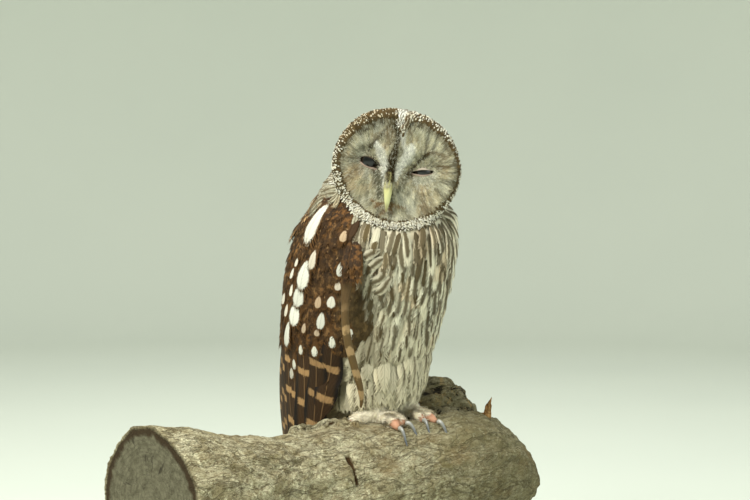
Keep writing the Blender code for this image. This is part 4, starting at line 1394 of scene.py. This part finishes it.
def dress_crown(bird):
    """The crown and nape: dark brown feathers with pale, rusty edges. Returns where they lie."""

    def colours(roots):
        head, count = to_head(roots), len(roots)
        patchy, behind = lumps(roots, 0.010, 2), smooth(-1.0, 2.0, head[:, 1])
        edge = mix(shaded(CREAM, count), RUST, smooth(-0.1 - 0.5 * behind, 0.4, patchy) * 0.7)
        edge = mix(edge, BUFF, 0.5 * behind)
        wedge = np.maximum(*(near_line(head[:, :2], line) for line in CROWN_LINES))
        wedge *= smooth(4.0, 5.0, head[:, 2])
        edge = mix(edge, WHITE, wedge)
        dark = mix(shaded(OLIVE, count), RUST, 0.25 * RNG.random(count))
        chin = smooth(-1.0, -3.0, head[:, 2]) * smooth(130, 60, np.abs(breast_turn(to_body(roots)) + 20))
        edge = mix(edge, mix(WHITE, CREAM, RNG.random(count)), chin)
        # The root is a darker copy of the feather's colour: painted shade where the feathers overlap.
        return edge * 0.7, edge, dark, columns(0.55 - 0.35 * wedge - 0.3 * chin, 0.05, 0.95)

    top = smooth(8.9, 8.4, np.linalg.norm(bird.head, axis=1)) * (bird.body[:, 2] > 20.5)
    weight = np.maximum(top * bird.where(*HEAD_NODES, "neck"), bird.where("head")) * (1 - bird.face)
    weight *= (bird.head[:, 2] > -3.2) | (np.abs(bird.turn) > 100)
    coat = Coat("crown", "streak", "plumage_brown", round_head)
    bird.dress(coat, feather_shape(5, 5, 5), weight, 2.7, 11, 2.8, (0.4, 2.6, 3.4), colours)
    coat.build()
    return weight


def near_ruff(points):
    head = to_head(points)
    return smooth(1.75, 1.15, disc_reach(head)) * smooth(2.0, -1.0, head[:, 1])


def front_colours(roots):
    """Breast and belly: pale ground with a dark streak, bold above and thin below, brown shoulders, painted
    shadow beside the slipped primary and painted shade at the roots.
    """
    body, count, throat = to_body(roots), len(roots), near_ruff(roots)
    turn, up = breast_turn(body), body[:, 2]
    flank = smooth(0, 30, turn)
    high = smooth(8.0 - 1.5 * flank, 16.0, up + 1.2 * RNG.normal(size=count))
    ground = mix(shaded(BELLY, count, 0.10), mix(CREAM, PALE, RNG.random(count)), 0.6 * high)
    ground = mix(ground, BUFF, 0.45 * high * smooth(0.0, 0.5, lumps(roots, 0.02, 5)))
    width = mix(0.16, mix(0.44, 0.32, flank), high) * RNG.uniform(0.7, 1.25, count)
    strength = (RNG.random(count) < mix(mix(0.55, 0.90, flank), 0.95, high)) * RNG.uniform(0.85, 1.0, count)
    strength *= 1 - 0.9 * smooth(3.5, 1.5, up)
    mark = mix(shaded(STREAK, count, 0.2), OLIVE, 0.8 * high * RNG.random(count))
    # Painted shadow of the folded wing and the slipped primary on the breast beside them.
    shadow_by_primary = smooth(22, 36, -turn) * smooth(8.0, 11.0, up) * smooth(19.5, 17.5, up)
    ground = mix(ground, STREAK, 0.45 * shadow_by_primary)
    shoulder = smooth(42, 52, -turn) * smooth(13.0, 15.0, up) > RNG.random(count)
    ground = mix(ground, mix(RUST, shaded(BUFF, count), RNG.random(count) < 0.15), shoulder)
    mark = mix(mark, UMBER, shoulder)
    width = mix(width, 0.85, shoulder) * (1 + 0.35 * throat)
    numbers = columns(width, RNG.uniform(0.0, 0.25, count) - 0.45 * throat, mix(strength, 0.95, shoulder))
    # Roots are a darker copy of the ground, much darker on the shoulders: painted shade where the feathers
    # overlap. Tips are a touch lighter.
    return ground * mix(0.92, 0.45, shoulder)[:, None], ground * 1.04, mark, numbers


def collar_colours(roots):
    body, count = to_body(roots), len(roots)
    edge = mix(shaded(CREAM, count, 0.2), PALE, RNG.random(count)) * 0.88
    edge = mix(edge, BUFF, (RNG.random(count) < 0.3) * 0.5)
    edge = mix(edge, mix(STREAK, DISC, RNG.random(count)), 0.6 * smooth(-20, -50, breast_turn(body)))
    width = RNG.uniform(0.12, 0.45, count)
    mark = mix(mix(UMBER, BROWN, RNG.random(count)), STREAK, smooth(20.5, 23.5, body[:, 2]))
    # The root is a darker copy of the feather's colour: painted shade where the feathers overlap.
    return edge * 0.8, edge, mark, columns(width, RNG.uniform(0.0, 0.3, count), 0.85)


def dress_front(bird, taken):
    """Breast, belly, flanks and collar: pale feathers with a dark streak down each."""
    up = bird.body[:, 2]
    trunk = bird.upper_body() * (taken < TAKEN) * (1 - bird.face) * (np.abs(bird.turn) < BACK_TURN)
    trunk *= ~bird.beside_wing * (1 - bird.shoulders())
    collar = trunk * ((bird.turn < -36) | (bird.turn > 60)) * (up > 23.0)
    front = trunk * (collar == 0) * (1 + 0.6 * near_ruff(bird.skin.middles))
    firm, soft = feather_shape(7, 7, 12), plume_shape(22, vane_shape(6, 5, 0.3, 0.15))

    def cover(coat, shape, weight, spacing, length, half):
        bird.dress(coat, shape, weight, spacing, lambda roots: length - 15 * near_ruff(roots),
                   lambda roots: half - 1.8 * near_ruff(roots), (0.5, 5.0, 6.8), front_colours, rows=5)

    breast = Coat("breast", "streak", "plumage_pale")
    cover(breast, firm, front * (up >= 10.0), 7.6, 44, 6.8)
    lay_ruffled(bird, breast, firm)
    breast.build()
    belly = Coat("belly", "streak", "plumage_pale")
    cover(belly, soft, front * (up < 10.0), 6.8, 42, 8.0)
    hang_skirt(bird, belly, soft)
    fill_flanks(bird, belly)
    belly.build()
    coat = Coat("collar", "streak", "plumage_pale")
    bird.dress(coat, feather_shape(6, 5, 7), collar, 4.2, 20, 4.2, (0.4, 3.2, 4.4), collar_colours, rows=5)
    coat.build()


def fill_flanks(bird, coat):
    """Small plumes beside and under the wings and over their front edges."""
    (x, back, up), plume = bird.body.T, plume_shape(12, vane_shape(5, 3, 0.3, 0.15))
    beside = bird.where("trunk") * bird.beside_wing * (np.abs(bird.turn) < 135) * ((back < 3.0) | (up > 5.5))
    under = bird.where("tail", "trunk") * (up < 3.0) * (np.abs(x) < 3.4) * (back > 6.0) * (back < 11.0)
    front_edge = bird.where(*WINGS) * (up < 8.4) * before_flight(bird.body)
    for weight, spacing, length, half, heights in (
        (beside, 3.6, 17, 5.0, (0.4, 1.6, 2.0)),
        (under, 4.5, 24, 6.0, (0.4, 3.0, 4.0)),
        (front_edge, 3.4, 19, 5.0, (0.4, 3.0, 4.2)),
    ):
        bird.dress(coat, plume, weight, spacing, length, half, heights, front_colours)


# Breast feathers that the slipped primary has pushed aside: where each starts and ends, across and up as
# seen from the camera's side.
RUFFLED = (
    ((-1.3, 18.5), (-3.7, 16.5)),
    ((-0.7, 17.7), (-3.3, 15.5)),
    ((-1.9, 19.2), (-4.1, 17.6)),
    ((-0.6, 16.8), (-2.9, 14.5)),
)


def lay_ruffled(bird, coat, shape):
    across, ahead = unit(np.array((1.0, -1.0, 0.0))), unit(np.array((1.0, 1.0, 0.0)))
    for k, (start, end) in enumerate(RUFFLED):
        points, normals = [], []
        for t in np.linspace(0, 1, 6):
            bow = math.sin(math.pi * t)
            side, up = mix(start, end, t) + (0.0, 0.35 * bow * (-1) ** k)
            origin = PERCH + (across * side + (0.0, 0.0, up)) * CM - ahead * 0.4
            spot, normal = map(np.array, bird.skin.tree.ray_cast(Vector(origin), Vector(ahead))[:2])
            points.append(spot + normal * (0.003 + 0.005 * bow + 0.0005 * k))
            normals.append(normal)
        # The root is a darker copy of the cream: painted shade.
        paint = CREAM * 0.6, CREAM * 0.95, mix(OLIVE, STREAK, RNG.random()), (0.34, 0.0, 0.9)
        coat.add(shape, np.array([points]), np.array([normals]), np.array([0.0062]), 0.25, *paint)


def hang_skirt(bird, coat, shape):
    """The belly's lowest feathers, which hang straight down over the legs."""
    top, up = 8.2 + 1.2 * lumps(bird.skin.middles, 0.012, 18), bird.body[:, 2]
    low = bird.where("trunk", "leg_L", "leg_R") * (up > 3.4) * smooth(top + 2.2, top - 2.2, up)
    low *= ~bird.beside_wing * (np.abs(bird.turn) < 88) * (bird.skin.facing[:, 2] < 0.5)
    roots = bird.skin.scatter(low, 6.0 * MM)
    count = len(roots)
    out = unit((roots - PERCH - (0, 0.05, 0)) * (1, 1, 0))
    drop = np.minimum(RNG.uniform(3.4, 5.2, count), to_body(roots)[:, 2] - RNG.uniform(1.0, 1.9, count)) * CM
    t = np.linspace(0, 1, 5)[:, None]
    swell = 0.0075 * smooth(0.0, 0.8, t) - 0.004 - 0.006 * t * t
    lines = roots[:, None] + swell * out[:, None] - drop[:, None, None] * t * (0.0, 0.0, 1.0)
    ups = np.repeat(unit(out + (0, 0, 0.1))[:, None], len(t), axis=1)
    paint = front_colours(roots)
    coat.add(shape, lines, ups, RNG.uniform(6.5, 8.5, count) * MM, 0.25, *paint)


def dress_back(bird, taken):
    """Mantle and rump: dark rusty brown feathers with buff flecks at their edges."""

    def colours(roots):
        count = len(roots)
        edge = mix(shaded(BUFF, count), RUST, smooth(-0.5, 0.3, lumps(roots, 0.02, 6)))
        dark = shaded(UMBER, count, 0.2)
        return dark, edge, dark, columns(RNG.uniform(0.5, 0.85, count), 0.1, 0.95)

    weight = bird.where("trunk", "neck") * (taken < TAKEN) * (1 - bird.face)
    weight *= (np.abs(bird.turn) >= BACK_TURN) * (bird.body[:, 2] > 4.5)
    coat = Coat("mantle", "streak", "plumage_brown")
    bird.dress(coat, feather_shape(6, 5, 9), weight, 6.5, 30, 8.0, (0.5, 5.0, 6.8), colours, rows=5)
    coat.build()


# White spots of the folded right wing: back, up, length and half width of the oval, and how far its colour
# goes from white to buff. The left wing has the same, mirrored.
SCAPULAR_SPOTS = (
    (3.9, 21.0, 4.5, 0.90, 0.1), (4.0, 17.8, 1.9, 0.50, 0.35), (5.5, 16.1, 2.9, 0.85, 0.0),
    (6.4, 13.9, 2.3, 0.74, 0.0), (7.2, 11.9, 2.5, 0.74, 0.0), (8.9, 9.5, 2.6, 0.60, 0.0),
)
SMALL_SPOTS = (
    (7.0, 17.4, 1.0, 0.28, 0.2), (8.0, 16.1, 1.1, 0.30, 0.1), (8.1, 14.3, 1.2, 0.32, 0.1),
    (10.3, 13.2, 1.2, 0.32, 0.2), (9.5, 12.0, 1.3, 0.32, 0.3), (5.3, 19.6, 1.0, 0.25, 0.5),
    (-1.0, 20.1, 1.0, 0.50, 0.4), (-0.8, 18.9, 1.1, 0.55, 0.1), (0.7, 17.1, 1.5, 0.34, 0.0),
    (1.1, 15.3, 0.9, 0.30, 0.4), (2.1, 13.5, 1.2, 0.42, 0.1), (3.5, 11.4, 1.7, 0.42, 0.0),
    (3.6, 13.4, 1.2, 0.32, 0.8), (4.2, 10.1, 0.7, 0.26, 0.7), (0.6, 20.4, 1.1, 0.35, 0.8),
    (6.0, 10.4, 1.0, 0.25, 0.7),
)
COVERT_TIPS = (
    (-2.0, 17.2, 0.8, 0.50, 0.2), (-2.4, 14.9, 0.9, 0.35, 0.2), (0.4, 10.0, 1.2, 0.28, 0.0),
    (2.4, 9.1, 1.2, 0.36, 0.0), (4.8, 7.9, 1.1, 0.34, 0.0), (6.9, 7.9, 1.0, 0.28, 0.1),
    (8.6, 6.1, 1.1, 0.28, 0.1), (9.4, 5.0, 1.2, 0.28, 0.2),
)
# Each kind of spot: how much longer its feather is than the oval, and the feather's heights over the skin.
SPOTTED = (
    (COVERT_TIPS, 2.6, (0.4, 4.4, 4.2)),
    (SMALL_SPOTS, 1.4, (0.6, 5.6, 5.2)),
    (SCAPULAR_SPOTS, 1.5, (2.0, 8.0, 6.8)),
)
# The long feathers of a folded wing, rear one first: how far back each leaves the coverts, and how far back
# and up it ends.
FLIGHT_FEATHERS = (
    (15.0, 15.2, -10.4), (13.9, 14.6, -10.8), (12.7, 13.8, -10.8), (11.4, 12.8, -10.6), (10.6, 12.4, -10.4),
    (9.7, 11.9, -10.0), (8.4, 11.2, -9.2), (6.3, 9.9, -7.4), (4.2, 8.1, -3.8), (2.0, 6.1, 0.2),
)
FLIGHT_ROOT_UP = 10.9
COVERTS_UP = 9.6  # the lower edge of the large coverts
LONG_ROWS = 16  # points down the middle of a flight or tail feather


def covert_colours(roots):
    body, count = to_body(roots), len(roots)
    front = smooth(2.5, -0.5, body[:, 1]) * smooth(18.5, 15.5, body[:, 2])
    warm = mix(shaded(RUST, count, 0.3), BUFF, 0.25 * smooth(0.1, 0.5, lumps(roots, 0.014, 9)))
    dark = mix(shaded(UMBER, count, 0.3), OLIVE, 0.7 * front)
    rust, flecks = RNG.uniform(0.35, 0.95, count), RNG.uniform(0.1, 0.7, count) * (1 - 0.6 * front)
    # The root is a darker copy of the feather's colour: painted shade where the feathers overlap.
    return dark * 0.7, dark, mix(warm, BROWN, front), columns(rust, flecks, front)


def dress_wing(bird, side, taken):
    """One folded wing: small coverts, spotted coverts and scapulars, and the long barred flight feathers."""
    owner, (_, back, up) = bird.where(f"wing_{SIDES[side]}"), bird.body.T
    coverts = Coat(f"coverts_{SIDES[side]}", "mottle", "plumage_brown")
    if side < 0:
        cover_loose_root(bird, coverts)
    shoulder = bird.shoulders() * (bird.turn * side > 0) * (taken < TAKEN) * (1 - bird.face)
    upper = np.maximum(owner * (up > COVERTS_UP), shoulder)
    bird.dress(coverts, feather_shape(6, 5, 7), upper, 5.2, 24, 6.5, (0.4, 2.6, 3.4), covert_colours, rows=5)
    inner = (bird.skin.facing[:, 0] * side < 0.2) | (back > 13.6)
    lower = owner * (up <= COVERTS_UP) * (up > -7.0) * ~before_flight(bird.body) * inner
    bird.dress(coverts, vane_shape(5, 3), lower, 6.0, 14, 5.0, (0.2, 0.5, 0.3),
               lambda roots: (*covert_colours(roots)[:3], (0.2, 0.0, 0.0)))
    coverts.build()
    dress_spots(bird, side)
    dress_flight(bird, side)


def cover_loose_root(bird, coat):
    """A few feathers that lie over the root of the primary that hangs loose."""
    node = read(NODES["loose_primary_R"].data)
    top = node[node[:, 2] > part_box("loose_primary_R")[1][2] - 0.02].mean(axis=0)
    ahead, t = unit(np.array((-1.0, -1.0, 0.0))), np.linspace(0, 1, 6)[:, None]
    shape, ups, width = feather_shape(6, 5, 7), np.tile(ahead, (1, 6, 1)), np.array([0.006])
    for z, x in itertools.product((0.016, 0.006), (-0.006, 0.0, 0.006)):
        root = top + (x * 0.7, -x * 0.7, z + 0.010)
        spot = np.array(bird.skin.tree.find_nearest(Vector(root))[0])
        end = top + (x * 0.9, -x * 0.9, z - 0.034) + ahead * 0.010
        middle = (spot + end) / 2 + ahead * 0.014
        line = spot * (1 - t) ** 2 + 2 * middle * t * (1 - t) + end * t * t
        coat.add(shape, line[None], ups, width, 0.25, *covert_colours(spot[None]))


def dress_spots(bird, side):
    coat, shape = Coat(f"spotted_{SIDES[side]}", "spot", "plumage_brown"), feather_shape(12, 9, 10)
    dark = mix(UMBER, RUST, 0.25)
    for table, extra, heights in SPOTTED:
        for back, up, long, half, warm in sorted(table, key=lambda row: row[1]):
            whole = long + extra
            centre = 1 - (0.42 + 0.09 * long + long / 2) / whole
            place = PERCH + np.array((side * 20.0, back - 0.12 * whole * centre, up + whole * centre)) * CM
            root = bird.skin.tree.ray_cast(Vector(place), Vector((-side, 0, 0)))[0]
            lines, ups = bird.skin.lay([root], flow, np.array([whole * CM]), np.array([heights]) * MM, 6)
            paint = dark, mix(dark, RUST, 0.4), mix(SPOT_WHITE, SPOT_BUFF, warm)
            numbers = (0.0, centre, long / whole / 2 * 1.05)
            coat.add(shape, lines, ups, np.array([(half * 1.5 + 0.12) * CM]), 0.22, *paint, numbers)
    coat.build()


def evened(values, times):
    """A row of points whose inner ones are drawn towards their neighbours."""
    values = np.array(values)
    for _ in range(times):
        values[1:-1] = (values[:-2] + 2 * values[1:-1] + values[2:]) / 4
    return values


def wing_path(bird, side, start, end):
    """Points and normals down the outside of a wing between two places given as (back, up)."""
    points, normals = [], []
    for back, up in mix(start, end, np.linspace(0, 1, LONG_ROWS)[:, None]):
        _, y, z = PERCH + np.array((0.0, back, up)) * CM
        hit = bird.skin.tree.ray_cast(Vector((PERCH[0] + side * 0.2, y, z)), Vector((-side, 0, 0)))
        if points and (hit[0] is None or abs(hit[0][0] - points[-1][0]) > 0.008):
            spot = bird.skin.tree.find_nearest(Vector((points[-1][0], y, z)))[0]
            hit = ((spot[0], y, z), normals[-1])
        points.append(np.array(hit[0]))
        normals.append(np.array(hit[1]))
    return evened(points, 3), unit(evened(normals, 3))


def tail_path(bird, start, end):
    """Points and normals down the back of the tail between two places given as (across, up)."""
    points, normals = [], []
    for across, up in mix(start, end, np.linspace(0, 1, LONG_ROWS)[:, None]):
        origin = Vector(PERCH + np.array((across, 30.0, up)) * CM)
        hit = bird.skin.tree.ray_cast(origin, Vector((0, -1, 0)))
        if hit[0] is None:
            hit = (points[-1] + (points[-1] - points[-2]), normals[-1])
        points.append(np.array(hit[0]))
        normals.append(np.array(hit[1]))
    return evened(points, 4), unit(evened(normals, 4))


def add_long_feather(coat, points, normals, levels, half_width, camber, *paint):
    """Adds a flight or tail feather whose height over the skin runs through three levels in millimetres."""
    height = np.interp(np.linspace(0, 1, LONG_ROWS), (0, 0.2, 1), levels) * MM
    lines = (points + normals * height[:, None])[None]
    coat.add(vane_shape(30, 9, 0.9, 0.06), lines, normals[None], np.array([half_width * CM]), camber, *paint)


def dress_flight(bird, side):
    coat = Coat(f"flight_{SIDES[side]}", "bar", "plumage_brown")
    for k, (back, end_back, end_up) in enumerate(FLIGHT_FEATHERS):
        start = (back, FLIGHT_ROOT_UP - 2.2 * (k < 3))
        points, normals = wing_path(bird, side, start, (end_back, end_up))
        phase = 0.25 - (FLIGHT_ROOT_UP - 6.1 + (0.0, 0.7, -0.5)[k % 3]) / 3.5
        mark = shaded(mix(BUFF, RUST, 0.4), 1, 0.25)[0] * 0.9
        base = mix(UMBER, RUST, RNG.uniform(0.0, 0.2)) * 0.8
        numbers = ((FLIGHT_ROOT_UP - end_up) / 3.5, phase, RNG.uniform(0.75, 1.0))
        levels, half = (0.5, 0.8 + 0.27 * k, 1.0 + 0.27 * k), 1.05 if k < 6 else 1.5
        # The root is a darker copy of the feather's colour: painted shade where the feathers overlap.
        add_long_feather(coat, points, normals, levels, half, 0.12, base * 0.8, base, mark, numbers)
    coat.build()


def dress_tail(bird):
    """The long barred feathers of the tail, the outer ones beneath the middle ones."""
    coat = Coat("tail_feathers", "bar", "plumage_brown")

    def dark(roots):
        base = shaded(mix(UMBER, RUST, 0.3), len(roots), 0.2)
        # Tips are a lighter copy of the base: painted light.
        return base, base * 1.2, base, (0, 0, 0)

    behind = bird.where("tail") * (bird.body[:, 1] > 12.0) * (bird.body[:, 2] > -11.0)
    bird.dress(coat, vane_shape(5, 3), behind, 6.0, 22, 6.5, (0.2, 0.5, 0.3), dark)
    start_up, rear = 7.5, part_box("tail")[1][1]
    for k, x in enumerate(sorted(np.linspace(-2.9, 2.9, 8), key=lambda value: -abs(value))):
        end_up = -14.2 + 0.25 * abs(x)
        points, normals = tail_path(bird, (0.45 * x, start_up), (x, end_up))
        points[:, 1] = np.minimum(points[:, 1], rear - 0.0028)
        base = mix(UMBER, RUST, RNG.uniform(0.25, 0.5))
        levels = (0.4, 0.8 + 0.18 * k, 0.9 + 0.18 * k)
        # Tips are a lighter copy of the base: painted light.
        paint = base, base * 1.2, shaded(BUFF, 1, 0.15)[0], ((start_up - end_up) / 2.9, 0.1 + 0.02 * k, 0.85)
        add_long_feather(coat, points, normals, levels, 1.05, 0.06, *paint)
    coat.build()


def dress_legs(bird):
    """Legs and toes in short cream down, out to the bare pads at the tips of the toes."""

    def colours(roots):
        down = mix(shaded(TOE_DOWN, len(roots), 0.25), BELLY, smooth(2.0, 5.0, to_body(roots)[:, 2]))
        # Tips are a lighter copy of the down: painted light against the shade on the legs and toes.
        return down, down * 1.2, STREAK, (0.1, 0.4, 0.0)

    coat = Coat("leg_down", "streak", "plumage_pale")
    bird.dress(coat, plume_shape(8), bird.where("leg_L", "leg_R"), 3.0, 15, 4.2, (0.3, 2.6, 3.8), colours)
    feet = bird.where("foot_L", "foot_R", *TOES) * (1 - toe_pads(bird.skin.middles))
    bird.dress(coat, tuft_shape(4, 0.14), feet, 1.15, 7.5, 1.6, (0.1, 2.0, 3.6), colours)
    coat.build()


def toe_pads(points):
    """1 on the bare pads at the ends of the toes."""
    body = to_body(points)
    return smooth(2.5, 3.0, np.hypot(*from_foot(body).T)) * smooth(2.2, 1.6, body[:, 2])


def paint_skin(bird):
    """Gives the skin the colours of the feathers rooted near each of its points, and finishes its piece."""
    spots, colours = (np.concatenate(values) for values in zip(*bird.paint))
    corners = [tuple(p + d) for p in spots for d in ((0, 0, 0), (1e-5, 0, 0), (0, 1e-5, 0))]
    tree = BVHTree.FromPolygons(corners, [(i, i + 1, i + 2) for i in range(0, len(corners), 3)])
    points, lids = bird.skin.points, bird.lid_share
    head, body, owners = to_head(points), to_body(points), bird.owner_at(points)
    rim = mix(LID_PINK, mix(LID_DARK, LID_PALE, head[:, 0] > 0), above_eye(head))
    brown = np.isin(owners, WINGS) & ((body[:, 2] > 9.0) | ~before_flight(body))
    brown |= (owners == "tail") & ((body[:, 1] > 12.0) | (body[:, 2] < -3.0))
    # The skin is a darker copy of the nearby feathers' colours: painted shade between the feathers.
    paint = colours[[tree.find_nearest(Vector(p))[2] for p in points]] * 0.8
    for colour, share in (
        (rim, smooth(0.32, 0.22, lids)),
        (rgb(52, 40, 34), smooth(0.02, 0.0, lids)),
        (mix(UMBER, RUST, 0.3), brown),
        (PAD, toe_pads(points) * np.isin(owners, TOES)),
    ):
        paint = mix(paint, colour, share)
    set_attribute(bird.skin.mesh, "paint", paint)
    s = Shader("skin", roughness=0.6, specular=0.3)
    pores = s.noise(0.0012, 4.0)
    s.bump(pores, 0.0002, 0.5)
    material = s.colour(s.blend(pores * 0.12, s.attribute("paint"), rgb(120, 92, 74)))
    skin = finish_piece("owl_skin", bird.skin.mesh, material)
    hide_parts(*FLESH)


def main():
    bird = Bird()
    dress_face(bird)
    dress_bill_root()
    dress_ruff(bird)
    crown = dress_crown(bird)
    dress_front(bird, crown)
    dress_back(bird, crown)
    for side in SIDES:
        dress_wing(bird, side, crown)
    dress_tail(bird)
    dress_legs(bird)
    paint_skin(bird)
    for letter, eye in OPENINGS.items():
        build_eye(letter, eye)
    build_bill()
    build_claws()
    build_loose_primary()
    build_log()
    build_stand()
    build_studio()
    build_lights(*build_camera())


main()
